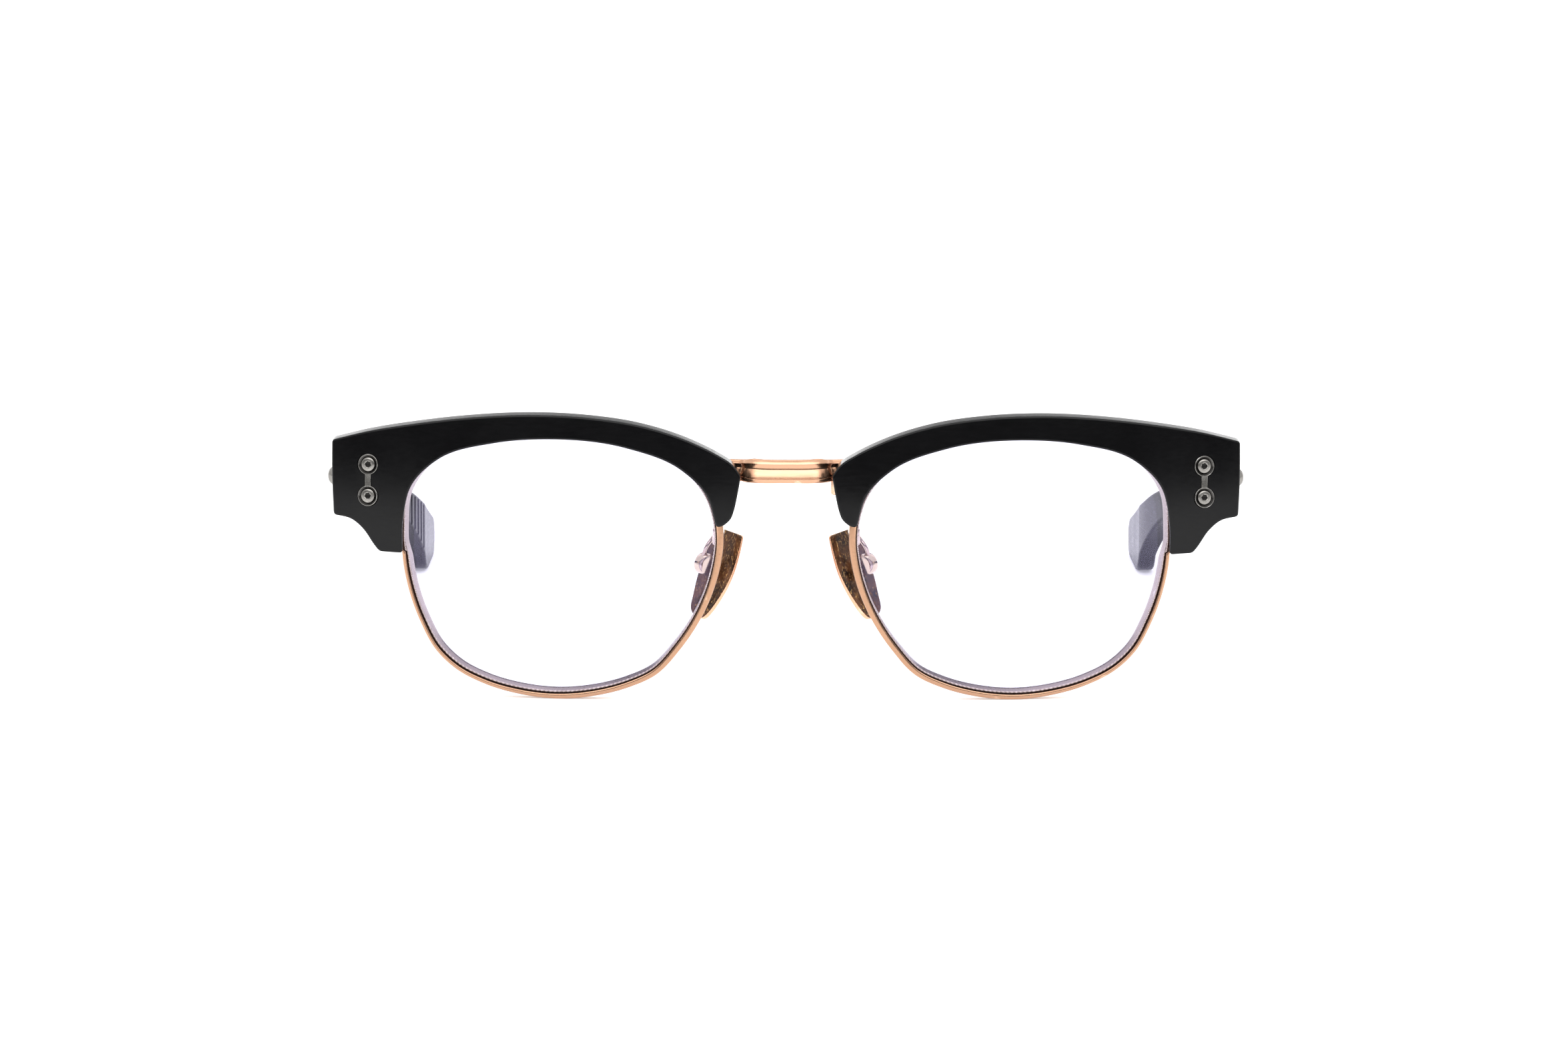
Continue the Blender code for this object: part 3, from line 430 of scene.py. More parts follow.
def box(low, high, edge=0.0):
    """A box between two corners, with rounded edges."""
    size = Vector(high) - Vector(low)
    middle = (Vector(high) + Vector(low)) / 2.0
    shape = bmesh.new()
    bmesh.ops.create_cube(shape, size=1.0)
    shape.transform(Matrix.Translation(middle) @ Matrix.Diagonal((*size, 1.0)))
    if edge:
        bmesh.ops.bevel(shape, geom=shape.edges[:], offset=edge, segments=BEVEL_STEPS, profile=0.5,
                        affect="EDGES", clamp_overlap=True)
    return from_shape(shape)


def turned(profile, segments=48, frame_matrix=Matrix()):
    """A turned piece round z, from (radius, height) points from one end of its axis to the other."""
    shape = bmesh.new()
    rows = []
    for radius, height in profile:
        turns = around(segments) if radius else [0.0]
        rows.append([shape.verts.new((radius * math.cos(t), radius * math.sin(t), height)) for t in turns])
    for row, after in zip(rows, rows[1:]):
        for i in range(segments):
            if len(row) == 1:
                corners = [row[0], after[i], after[i - 1]]
            elif len(after) == 1:
                corners = [row[i - 1], row[i], after[0]]
            else:
                corners = [row[i - 1], row[i], after[i], after[i - 1]]
            shape.faces.new(corners)
    shape.transform(frame_matrix)
    return from_shape(shape)


def facing(place, direction):
    """A frame at a place with its z axis along a direction."""
    turn = Z_AXIS.rotation_difference(Vector(direction)).to_matrix().to_4x4()
    return Matrix.Translation(place) @ turn


def rod(start, end, radius, edge=0.0, segments=40):
    """A round rod between two points, with chamfered ends."""
    axis = Vector(end) - Vector(start)
    length = axis.length
    profile = [(0.0, 0.0), (radius, 0.0), (radius, length), (0.0, length)]
    if edge:
        slope = 0.3 * edge
        profile[1:3] = [(radius - edge, 0.0), (radius - slope, slope), (radius, edge),
                        (radius, length - edge), (radius - slope, length - slope),
                        (radius - edge, length)]
    return turned(profile, segments, facing(start, axis))


def direction_at(path, index):
    """Direction of an open path at one of its points."""
    return (path[min(index + 1, len(path) - 1)] - path[max(index - 1, 0)]).normalized()


def wire(path, radius, end_radius):
    """A round wire along a path, tapering from one radius to another."""
    rings = []
    side = X_AXIS
    for i, here in enumerate(path):
        along = direction_at(path, i)
        side = (side - along * side.dot(along)).normalized()
        up = along.cross(side)
        size = radius + (end_radius - radius) * i / (len(path) - 1)
        rings.append([here + (side * math.cos(t) + up * math.sin(t)) * size for t in around(WIRE_SIDES)])
    return loft(rings)


def combined(obj, operation, others):
    """An object after a Boolean with each of the others, which are used up."""
    for other in others:
        modifier = obj.modifiers.new("combine", "BOOLEAN")
        modifier.operation = operation
        modifier.solver = "EXACT"
        modifier.object = other
        obj = baked(obj)
        bpy.data.objects.remove(other)
        if not obj.data.vertices:
            raise ValueError("a Boolean left nothing")
    return obj


def sliced(obj, planes, facing_y=0.0):
    """An object with its faces divided where the given (place, normal) planes cross it.

    Only faces whose normal has at least `facing_y` along y are divided.
    """
    shape = bmesh.new()
    shape.from_mesh(obj.data)
    for place, normal in planes:
        shape.normal_update()
        faces = [f for f in shape.faces if abs(f.normal.y) >= facing_y]
        around_them = [v for f in faces for v in f.verts] + [e for f in faces for e in f.edges]
        geometry = list(dict.fromkeys(around_them)) + faces
        bmesh.ops.bisect_plane(shape, geom=geometry, dist=SLICE_REACH, plane_co=place, plane_no=normal)
    shape.to_mesh(obj.data)
    shape.free()
    return obj


def curved(obj, spacing, square=False):
    """An object drawn flat, divided on a grid and laid on the curved face."""
    planes = []
    for axis in (0, 2):
        values = [v.co[axis] for v in obj.data.vertices]
        normal = Vector((axis == 0, 0.0, axis == 2))
        for step in range(math.ceil(min(values) / spacing), math.floor(max(values) / spacing) + 1):
            planes.append((normal * step * spacing, normal))
    sliced(obj, planes, FLAT_FACING)
    for vert in obj.data.vertices:
        if square:
            vert.co = on_face(*vert.co)
        else:
            vert.co.y += face_sag(vert.co.x, vert.co.z)
    return obj


def socket_screw(slot, head_height, shaft_length, head_radius=HEAD_RADIUS, socket_radius=0.55,
                 shaft_radius=SHAFT_RADIUS):
    """A screw with its head above z = 0 of its own frame, its shaft below, and a hexagon socket."""
    edge = 0.16 * head_radius
    top = head_height
    screw = turned([(0.0, top), (head_radius - 2.2 * edge, top),
                    (head_radius - edge, top - 0.12 * edge),
                    (head_radius - 0.3 * edge, top - 0.4 * edge), (head_radius, top - edge),
                    (head_radius, 0.0), (shaft_radius, 0.0), (shaft_radius, -shaft_length),
                    (0.0, -shaft_length)])
    depth = top * 0.62
    socket = turned([(0.0, top - depth - 0.16), (socket_radius * 0.96, top - depth),
                     (socket_radius, top + 1.0), (0.0, top + 1.0)], 6)
    lead_in = turned([(0.0, top - 0.09), (socket_radius * 0.9, top - 0.07),
                      (socket_radius * 1.12, top + 0.03), (0.0, top + 0.03)])
    screw = combined(screw, "DIFFERENCE", [socket, lead_in])
    # The socket's faces get painted shade, a near-black material
    return with_painted_shade(screw, lambda c: 0.0 < c.z < top - 0.12 and c.xy.length < socket_radius * 1.02, slot)


def with_painted_shade(obj, chosen, slot="screw_metal"):
    """Gives the faces picked by chosen(centre) a near-black material, painted shade for deep recesses such
    as sockets and seats.
    """
    obj.data.materials.clear()
    for material in (MATERIALS[slot], SEAT_SHADE_METAL):
        obj.data.materials.append(material)
    for face in obj.data.polygons:
        face.material_index = int(chosen(face.center))
    return obj


# ---- materials
class Tree:
    """Adds nodes to a node tree."""

    def __init__(self, tree):
        self.tree = tree

    def fill(self, node, key, value):
        """Sets or links one input of a node."""
        if isinstance(value, bpy.types.NodeSocket):
            self.tree.links.new(value, node.inputs[key])
        elif node.inputs[key].type == "RGBA":
            node.inputs[key].default_value = (*value, 1.0)
        else:
            node.inputs[key].default_value = value

    def node(self, kind, inputs=(), **settings):
        """A new node with its settings and inputs filled in."""
        made = self.tree.nodes.new(kind)
        for key, value in settings.items():
            setattr(made, key, value)
        for key, value in dict(inputs).items():
            self.fill(made, key, value)
        return made

    def spread(self, value, low=0.0, high=1.0, start=0.3, end=0.7, **settings):
        """A value spread from one range to another, held at both ends."""
        inputs = {"Value": value, "From Min": start, "From Max": end, "To Min": low, "To Max": high}
        return self.node("ShaderNodeMapRange", inputs, **settings).outputs["Result"]

    def mix(self, factor, first, second):
        """A colour between two colours."""
        return self.node("ShaderNodeMix", {0: factor, 6: first, 7: second}, data_type="RGBA").outputs[2]

    def math(self, operation, first, second):
        """Arithmetic on two values."""
        return self.node("ShaderNodeMath", {0: first, 1: second}, operation=operation).outputs[0]


class Nodes(Tree):
    """Builds one procedural material, with textures in millimetres of the piece's own space."""

    def __init__(self, name):
        self.material = bpy.data.materials.new(name)
        self.material.use_nodes = True
        super().__init__(self.material.node_tree)
        self.shader = self.tree.nodes["Principled BSDF"]
        self.output = self.tree.nodes["Material Output"]
        self.place = self.node("ShaderNodeTexCoord").outputs["Object"]
        self.height = None

    def noise(self, size, detail=3.0, stretch=(1.0, 1.0, 1.0), roughness=0.5):
        """Noise with features of a size in millimetres, drawn out along an axis."""
        scale = tuple(1.0 / (size * MM * s) for s in stretch)
        mapped = self.node("ShaderNodeMapping", {"Vector": self.place, "Scale": scale})
        made = self.node("ShaderNodeTexNoise", {"Vector": mapped.outputs[0], "Scale": 1.0, "Detail": detail,
                                                "Roughness": roughness})
        return made.outputs["Fac"]

    def bump(self, value, depth, strength=1.0):
        """Adds a height in millimetres to the surface."""
        inputs = {"Height": value, "Distance": depth * MM, "Strength": strength}
        if self.height:
            inputs["Normal"] = self.height
        self.height = self.node("ShaderNodeBump", inputs).outputs[0]
        self.set("Normal", self.height)

    def set(self, key, value):
        """Sets or links one input of the main shader."""
        self.fill(self.shader, key, value)


def edge_wear(nodes, low=0.52, high=0.6):
    """How worn the surface is: 0 on flats and 1 on raised edges, broken up by noise."""
    point = nodes.node("ShaderNodeNewGeometry").outputs["Pointiness"]
    raised = nodes.spread(point, 0.0, 1.0, low, high)
    return nodes.math("MULTIPLY", raised, nodes.spread(nodes.noise(1.5, 4.0), 0.2, 1.0))


def acetate(name, stretch, index, dull):
    """Polished black acetate with faint buffing lines and a little dust-like haze."""
    nodes = Nodes(name)
    clouds = nodes.noise(9.0, 4.0)
    nodes.set("Base Color", nodes.mix(clouds, (0.0022, 0.0022, 0.0025), (0.0038, 0.0038, 0.0042)))
    buffed = nodes.noise(0.35, 5.0, stretch)
    haze = nodes.math("ADD", nodes.spread(buffed, 0.0, 0.05), nodes.spread(clouds, dull, dull + 0.05))
    nodes.set("Roughness", nodes.math("ADD", haze, nodes.math("MULTIPLY", edge_wear(nodes), 0.08)))
    nodes.set("IOR", index)
    nodes.bump(nodes.noise(14.0, 1.0), 0.02, 0.35)
    nodes.bump(buffed, 0.0008, 0.5)
    return nodes.material


def plated(name, colour, worn, roughness, stretch=(1.0, 1.0, 1.0), grain=0.4):
    """Plated metal with fine polishing lines, small tone changes and brighter worn edges."""
    nodes = Nodes(name)
    tone = nodes.noise(6.0, 3.0)
    shaded = nodes.mix(nodes.spread(tone), tuple(c * 0.94 for c in colour), colour)
    nodes.set("Base Color", nodes.mix(edge_wear(nodes), shaded, worn))
    lines = nodes.noise(grain, 5.0, stretch)
    nodes.set("Roughness", nodes.math("ADD", nodes.spread(lines, roughness * 0.75, roughness * 1.2),
                                      nodes.spread(tone, 0.0, 0.03)))
    nodes.set("Metallic", 1.0)
    nodes.bump(lines, 0.001, 0.4)
    return nodes.material


def turned_metal(name, colour, roughness):
    """Metal with the fine rings that turning leaves round the piece's own axis."""
    nodes = Nodes(name)
    rings = nodes.node("ShaderNodeTexWave", {"Vector": nodes.place, "Scale": 1.0 / (0.5 * MM),
                                             "Distortion": 0.6, "Detail": 2.0, "Detail Scale": 1.0},
                       wave_type="RINGS", rings_direction="Z").outputs["Fac"]
    tone = nodes.noise(1.6, 4.0)
    shade = nodes.mix(nodes.spread(tone), tuple(c * 0.8 for c in colour), colour)
    worn = tuple(min(c * 1.5, 0.95) for c in colour)
    nodes.set("Base Color", nodes.mix(edge_wear(nodes, 0.5, 0.62), shade, worn))
    nodes.set("Roughness", nodes.math("ADD", nodes.spread(rings, roughness * 0.8, roughness * 1.2),
                                      nodes.spread(tone, 0.0, 0.06)))
    nodes.set("Metallic", 1.0)
    nodes.bump(rings, 0.002, 0.4)
    return nodes.material


def coated_lens(name):
    """Clear lens whose coating adds a faint violet reflection."""
    nodes = Nodes(name)
    clean = nodes.noise(22.0, 2.0)
    nodes.set("Base Color", nodes.mix(clean, (0.62, 0.58, 0.98), (0.70, 0.64, 0.98)))
    nodes.set("Metallic", 1.0)
    nodes.set("Roughness", nodes.spread(clean, 0.01, 0.03))
    clear = nodes.node("ShaderNodeBsdfTransparent", {"Color": (0.935, 0.93, 0.985)}).outputs[0]
    slant = nodes.node("ShaderNodeLayerWeight", {"Blend": 0.5}).outputs["Facing"]
    rising = nodes.math("MULTIPLY", nodes.math("POWER", slant, 4.0), 0.9)
    share = nodes.math("ADD", rising, nodes.spread(clean, 0.025, 0.03))
    both = nodes.node("ShaderNodeMixShader", {0: share, 1: clear, 2: nodes.shader.outputs[0]})
    nodes.fill(nodes.output, "Surface", both.outputs[0])
    return nodes.material


def amber(name):
    """Amber brown pad plastic with metallic gold specks inside, which also serve as painted glints of
    reflected light.
    """
    nodes = Nodes(name)
    # Gold specks, partly the pad's own pattern and partly painted glints of reflected light
    flecks_and_glints = nodes.spread(nodes.noise(0.3, 6.0, (1.0, 1.0, 2.5), 0.7), 0.0, 1.0, 0.55, 0.63)
    clouds = nodes.noise(2.4, 3.0)
    brown = nodes.mix(nodes.spread(clouds), (0.008, 0.003, 0.001), (0.12, 0.045, 0.015))
    nodes.set("Base Color", nodes.mix(nodes.math("MULTIPLY", flecks_and_glints, 0.6), brown, (0.66, 0.38, 0.15)))
    nodes.set("Metallic", nodes.math("MULTIPLY", flecks_and_glints, 0.8))
    nodes.set("Roughness", nodes.spread(clouds, 0.16, 0.28))
    nodes.set("IOR", 1.25)
    nodes.set("Coat Weight", 0.1)
    nodes.set("Coat Roughness", 0.1)
    nodes.bump(nodes.noise(0.8, 3.0), 0.02, 0.4)
    return nodes.material


ROSE = (0.46, 0.265, 0.165)
ALONG_FACE = (8.0, 1.0, 1.0)
ALONG_TEMPLE = (1.0, 12.0, 1.0)
MATERIALS = {
    "brow_acetate": acetate("brow_black_acetate", ALONG_FACE, 1.3, 0.13),
    "temple_acetate": acetate("temple_black_acetate", ALONG_TEMPLE, 1.2, 0.23),
    "rim_metal": plated("rim_rose_gold", ROSE, (0.64, 0.42, 0.29), 0.22),
    "bridge_metal": plated("bridge_rose_gold", (0.58, 0.33, 0.21), (0.82, 0.56, 0.4), 0.2, (10.0, 1.0, 1.0)),
    "hinge_metal": plated("hinge_satin_gold", (0.86, 0.66, 0.45), (0.95, 0.8, 0.62), 0.3, (1.0, 1.0, 6.0)),
    "plaque_metal": plated("plaque_dark_nickel", (0.15, 0.145, 0.135), (0.7, 0.68, 0.65), 0.26, grain=0.2),
    "screw_metal": turned_metal("screw_dark_nickel", (0.25, 0.24, 0.225), 0.24),
    "fixing_steel": turned_metal("fixing_steel", (0.62, 0.60, 0.58), 0.26),
    "lens_plastic": coated_lens("lens_coated"),
    "pad_plastic": amber("pad_amber"),
}
LINER_METAL = plated("rim_liner_pale", (0.38, 0.31, 0.31), (0.62, 0.54, 0.56), 0.3)
# Dark material that paints the shadow in the rim's recess behind the lip
RECESS_SHADE_METAL = plated("rim_recess_painted_shade", (0.16, 0.10, 0.075), (0.3, 0.22, 0.18), 0.45)
# Near-black material that paints shade into screw sockets and plaque seats
SEAT_SHADE_METAL = plated("seat_painted_shade", (0.025, 0.024, 0.023), (0.12, 0.115, 0.11), 0.38)
ARM_METAL = plated("pad_arm_pale_gold", (0.56, 0.44, 0.35), (0.85, 0.72, 0.6), 0.13)
PAD_SHELL_METAL = plated("pad_rose_edge", (0.76, 0.45, 0.29), (0.86, 0.58, 0.42), 0.25)


# ---- placing
def publish(obj, name, body, slot, nodes, mirrored, material=None, local=None):
    """Sets a finished piece into the frame in metres, with its material, body and replaced nodes."""
    flip = Matrix.Diagonal((-1.0 if mirrored else 1.0, 1.0, 1.0, 1.0))
    to_frame = Matrix.Scale(MM, 4) @ Matrix.Translation((0.0, -DEPTH_ORIGIN, 0.0)) @ flip
    mesh = obj.data.copy()
    mesh.name = name
    place = Matrix()
    if local is not None:
        turn = (flip @ local @ flip).to_3x3().to_4x4()
        place = Matrix.Translation((to_frame @ local).translation) @ turn
        mesh.transform(local)
    mesh.transform(to_frame)
    if mirrored:
        mesh.flip_normals()
    mesh.transform(place.inverted())
    if len(mesh.materials) < 2:
        mesh.materials.clear()
        mesh.materials.append(material or MATERIALS[slot])
    mesh.shade_smooth()
    mesh.set_sharp_from_angle(angle=SHARP_ANGLE)
    piece = linked(name, mesh)
    piece.matrix_world = place
    weighted = piece.modifiers.new("even_shading", "WEIGHTED_NORMAL")
    weighted.keep_sharp = True
    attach(piece, body)
    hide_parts(*nodes)


def single(obj, *details):
    """Publishes a piece drawn for one place only."""
    publish(obj, *details)
    bpy.data.objects.remove(obj)


def pair(obj, name, slot, part="front", nodes=None, **more):
    """Publishes a piece drawn for the wearer's left on both sides."""
    for hand, side in SIDES:
        body = part if part == "front" else hand + "_" + part
        stands_for = [hand + "_" + node for node in (nodes if nodes is not None else [name])]
        publish(obj, hand + "_" + name + "_look", body, slot, stands_for, side < 0.0, **more)
    bpy.data.objects.remove(obj)


def screw_pair(name, slot, local, *sizes):
    """Publishes a socket screw on both sides, with its own frame on the wearer's left."""
    pair(socket_screw(slot, *sizes), name, slot, local=local)


# ---- front
def brow_outline():
    """Closed outline of the brow, with eased corners."""
    outline = []
    for stretch in (BROW_TOP, BROW_NOSE_END, BROW_LENS_EDGE, BROW_STEP, BROW_NOTCH, BROW_TEMPLE_END):
        outline += smooth_run(stretch, 0.3)[:-1]
    return eased(outline, 0.25, 3)


def rim_outline(spacing):
    """Closed outer outline of the rim."""
    return smooth_run(RIM_OUTLINE, spacing, closed=True)


def pocket_outline(ends):
    """Outline of the pocket that a plaque is let into."""
    return dumbbell(*ends, PLAQUE_RADIUS + 0.05, PLAQUE_NECK + 0.1)


def make_brow():
    """Acetate brow, channelled for the rim and pocketed for the plaque."""
    brow = slab(brow_outline(), BROW_FRONT, BROW_BACK, *BROW_EDGES, border=BROW_BORDER)
    behind = BROW_BACK + 2.0 * CUT_PAST
    cuts = [
        slab(inset(rim_outline(0.8), -GAP), -GAP, behind),
        box((LOCK_LOW.x - 1.0, LOCK_LOW.y - GAP, 20.0), (LOCK_HIGH.x + GAP, behind, LOCK_HIGH.z + GAP)),
        slab(pocket_outline(FRONT_PLAQUE_CENTRES), BROW_FRONT - CUT_PAST, BROW_FRONT + PLAQUE_POCKET),
    ]
    return curved(combined(brow, "DIFFERENCE", cuts), BROW_GRID)


def swept_on_face(outline, place):
    """Rings of points round an outline; place(index) gives the section there as (across, back) points."""
    inwards = inset(outline, 1.0)
    rings = []
    for i, here in enumerate(outline):
        towards = inwards[i] - here
        ring = []
        for across, back in place(i):
            point = here + towards * across
            ring.append(on_face(point.x, back, point.y))
        rings.append(ring)
    return loft(rings, looped=True)


def rim_edges(x, z):
    """Distances in from the rim's outer edge at which the lip, the recess and the liner end.

    Under the brow the lip is narrow and the liner is tucked up behind the brow's edge.
    """
    lip = blended(RIM_LIP, x)
    face = lip + blended(RIM_RECESS, x)
    wall = face + RIM_LINER
    ratio = min(blended(RIM_TUCKED, x) / wall, 1.0)
    if x > LENS_CENTRE_X:
        covered = share_of(z, *(BROW_LOW_TEMPLE + above for above in LIP_NARROWS))
        tucked = gentle(share_of(z, *(BROW_LOW_TEMPLE + above for above in LINER_TUCKS)))
    else:
        covered = tucked = 1.0 if z > BROW_LOW_NOSE else 0.0
    narrow = 1.0 + (ratio ** 2 - 1.0) * covered
    return lip * narrow, face * narrow, wall * (1.0 + (ratio - 1.0) * tucked)


def make_rim():
    """Metal rim: rounded lip, recess and liner, in that order from the outside in; the recess carries
    painted shade.
    """
    outline = rim_outline(0.4)

    def section(index):
        lip, face, wall = rim_edges(outline[index].x, outline[index].y)
        return [(0.0, 0.25), (0.04, 0.12), (min(0.14, lip * 0.17), 0.03), (lip * 0.34, 0.0),
                (lip * 0.64, 0.0), (lip * 0.84, 0.03), (lip * 0.96, 0.1), (lip, 0.22),
                (lip + 0.005, 0.6), (lip + 0.01, 0.85), (face, 0.85), (face, 0.62),
                (face + 0.03, 0.56), (wall - 0.05, 0.56), (wall, 0.62), (wall + 0.01, 1.2),
                (wall + 0.02, 1.8), (wall + 0.03, RIM_BACK - 0.15), (wall - 0.02, RIM_BACK),
                (wall - 0.12, RIM_BACK + 0.02), (0.25, RIM_BACK + 0.02), (0.1, RIM_BACK - 0.04),
                (0.02, RIM_BACK - 0.14), (0.0, RIM_BACK - 0.3)]

    rim = swept_on_face(outline, section)
    points = len(section(0))
    for material in (MATERIALS["rim_metal"], LINER_METAL, RECESS_SHADE_METAL):
        rim.data.materials.append(material)
    metal, liner, recess = range(3)
    # Faces in the recess get the painted-shade material
    finishes = [metal] * 7 + [recess] * 4 + [liner] * 8 + [metal] * 5
    for face in rim.data.polygons:
        columns = sorted({v % points for v in face.vertices})
        face.material_index = finishes[columns[0] if columns != [0, points - 1] else points - 1]
    return rim


def make_beading():
    """Milgrain beading on the liner, just inside the lip."""
    path = rim_outline(0.4)
    length = sum((path[i] - path[i - 1]).length for i in range(len(path)))
    beads = round(length / BEAD_PITCH)
    path = eased(path, length / (beads * BEAD_STEPS), 0)

    def section(index):
        lip, face, wall = rim_edges(path[index].x, path[index].y)
        phase = (index % BEAD_STEPS) / BEAD_STEPS
        radius = BEAD_RADIUS * (0.5 + 0.5 * math.sin(math.pi * phase))
        middle = (face + wall) / 2.0
        return [(middle + radius * math.cos(t), BEAD_DEPTH + radius * math.sin(t))
                for t in around(BEAD_SIDES)]

    return swept_on_face(path, section)


def make_lens():
    """Lens of even thickness with its edge held in the liner."""
    outline = rim_outline(0.7)
    inwards = inset(outline, 1.0)
    edge = [p.lerp(q, rim_edges(p.x, p.y)[2] - LENS_HOLD) for p, q in zip(outline, inwards)]
    return curved(slab(edge, LENS_FRONT, LENS_BACK), LENS_GRID, square=True)


def make_bridge():
    """Bridge with a flat top, a cove, a full middle, a fine groove and a rolled lower lip."""
    half = smooth_run(BRIDGE_PATH, 0.3)
    path = [Vector((-p.x, p.y, 0.0)) for p in reversed(half[1:])] + half
    rings = []
    for i, here in enumerate(path):
        along = direction_at(path, i)
        across = Vector((-along.y, along.x, 0.0))
        dip = BRIDGE_DIP * max(0.0, 1.0 - (here.x / BROW_TOP[-1][0]) ** 2)
        lowered = BRIDGE_END_DROP * gentle(share_of(abs(here.x), 5.0, 7.5))
        ring = []
        for depth, height in BRIDGE_SECTION:
            sag = dip * (height + BRIDGE_HALF) / BRIDGE_HALF / 2.0
            sag += lowered * max(height, 0.0) / BRIDGE_HALF
            ring.append(here + across * depth + Vector((0.0, 0.0, BRIDGE_Z + height - sag)))
        rings.append(ring)
    return loft(rings)


def make_bridge_lug(hand):
    """Rounded lug under the end of the bridge, behind the brow; the one on the wearer's left shows."""
    low = (LUG_INNER[hand], BRIDGE_END_BACK - LUG_HALF_DEPTH, LUG_LOW)
    return box(low, (LUG_OUTER, BRIDGE_END_BACK + LUG_HALF_DEPTH, BRIDGE_Z - 1.5), edge=0.4)


def make_plaque(ends, plane):
    """Dumbbell plaque with a fine lip and a dished seat round each screw. Its face is at depth 0."""
    plaque = slab(dumbbell(*ends, PLAQUE_RADIUS, PLAQUE_NECK), 0.0, PLAQUE_THICKNESS, 0.09, 0.0, plane)
    out = plane(0.0, 0.0, -1.0)
    middles = [plane(*end, 0.0) for end in ends]
    rim = PLAQUE_RADIUS - 0.13
    seat = [(0.0, -0.7), (HEAD_RADIUS + 0.05, -0.7), (HEAD_RADIUS + 0.08, -0.3), (rim, 0.0), (rim, 0.3),
            (0.0, 0.3)]
    plaque = combined(plaque, "DIFFERENCE", [turned(seat, 48, facing(middle, out)) for middle in middles])

    def in_seat(centre):
        height = centre.dot(out)
        sunk = 0.02 < abs(height) < PLAQUE_THICKNESS - 0.02
        return sunk and any((centre - middle - out * height).length < rim + 0.01 for middle in middles)

    # The dished seats get painted shade, a near-black material
    return with_painted_shade(plaque, in_seat, "plaque_metal")


def shifted(obj, offset):
    """An object moved by an offset."""
    obj.data.transform(Matrix.Translation(offset))
    return obj


def laid(x, depth, z):
    """Matrix that leans a flat piece to follow the curved face, turning it about a place."""
    direction = face_inwards(x, z)
    turn = Y_AXIS.rotation_difference(direction).to_matrix().to_4x4()
    centre = Vector((x, depth, z))
    moved = centre + Y_AXIS * face_sag(x, z)
    return Matrix.Translation(moved) @ turn @ Matrix.Translation(-centre)


def make_front_hardware():
    """Front plaque and its two screws."""
    plaque = make_plaque(FRONT_PLAQUE_CENTRES, front_plane)
    shifted(plaque, Y_AXIS * (BROW_FRONT - PLAQUE_PROUD))
    lean = laid(PLAQUE_X, BROW_FRONT, sum(PLAQUE_Z) / 2.0)
    plaque.data.transform(lean)
    pair(plaque, "front_plaque", "plaque_metal")
    for name, z, turn in (("front_screw_upper", PLAQUE_Z[0], 0.3), ("front_screw_lower", PLAQUE_Z[1], 0.9)):
        upright = facing((PLAQUE_X, BROW_FRONT + PLAQUE_POCKET - SEAT, z), -Y_AXIS)
        local = lean @ upright @ Matrix.Rotation(turn, 4, "Z")
        screw_pair(name, "screw_metal", local, 0.66, 3.0)


def make_brow_screw():
    """Screw from behind, through the bridge end into the brow."""
    seat = BRIDGE_END_BACK + max(BRIDGE_SECTION)[0] + SEAT * 0.4
    local = facing((BROW_SCREW_X, seat, BROW_SCREW_Z), Y_AXIS)
    screw_pair("brow_screw", "fixing_steel", local, 0.65, 3.0, 1.0, 0.45)


def make_lock():
    """Closing block of the rim and its screw."""
    middle = (LOCK_LOW + LOCK_HIGH) / 2.0
    block = box(LOCK_LOW, LOCK_HIGH, edge=0.25)
    split = box((LOCK_LOW.x + LOCK_SPLIT_INWARDS, LOCK_LOW.y - CUT_PAST, LOCK_SPLIT[0]),
                (LOCK_HIGH.x + CUT_PAST, LOCK_HIGH.y + CUT_PAST, LOCK_SPLIT[1]))
    bore = rod((*middle.xy, LOCK_LOW.z - CUT_PAST), (*middle.xy, LOCK_HIGH.z - 0.8), SHAFT_RADIUS + 0.05)
    sag = Vector((0.0, face_sag(middle.x, middle.z), 0.0))
    block = shifted(combined(block, "DIFFERENCE", [split, bore]), sag)
    pair(block, "rim_lock_block", "rim_metal")
    local = facing(Vector((*middle.xy, LOCK_LOW.z)) + sag, -Z_AXIS)
    screw_pair("rim_lock_screw", "fixing_steel", local, 0.55, 3.6, 0.85, 0.4)


# ---- hinge
def knuckle_heights(first):
    """Low and high ends of every second knuckle, from the first or the second one up."""
    base = PIVOT.z - KNUCKLE_COUNT * KNUCKLE_PITCH / 2.0
    for index in range(first, KNUCKLE_COUNT, 2):
        low = base + index * KNUCKLE_PITCH + KNUCKLE_SIDE_GAP
        yield low, low + KNUCKLE_PITCH - 2.0 * KNUCKLE_SIDE_GAP


def knuckle(low, high):
    """One knuckle round the hinge pin."""
    return rod((*PIVOT.xy, low), (*PIVOT.xy, high), KNUCKLE_RADIUS, 0.14)


def make_hinge_front():
    """Hinge leaf on the back of the brow, with the outer and middle knuckles."""
    near = BROW_BACK + GAP
    inner, outer = FRONT_LEAF_X
    leaf = box((inner, near, PIVOT.z - FRONT_LEAF_HALF),
               (outer, near + HINGE_PLATE, PIVOT.z + FRONT_LEAF_HALF), 0.22)
    leaf = curved(leaf, LEAF_GRID)
    joined = []
    for low, high in knuckle_heights(0):
        root = face_sag(PIVOT.x, low) + near + HINGE_PLATE * 0.7
        joined += [box((PIVOT.x - 0.8, root, low), (PIVOT.x + 0.8, PIVOT.y, high), 0.1), knuckle(low, high)]
    return combined(leaf, "UNION", joined)


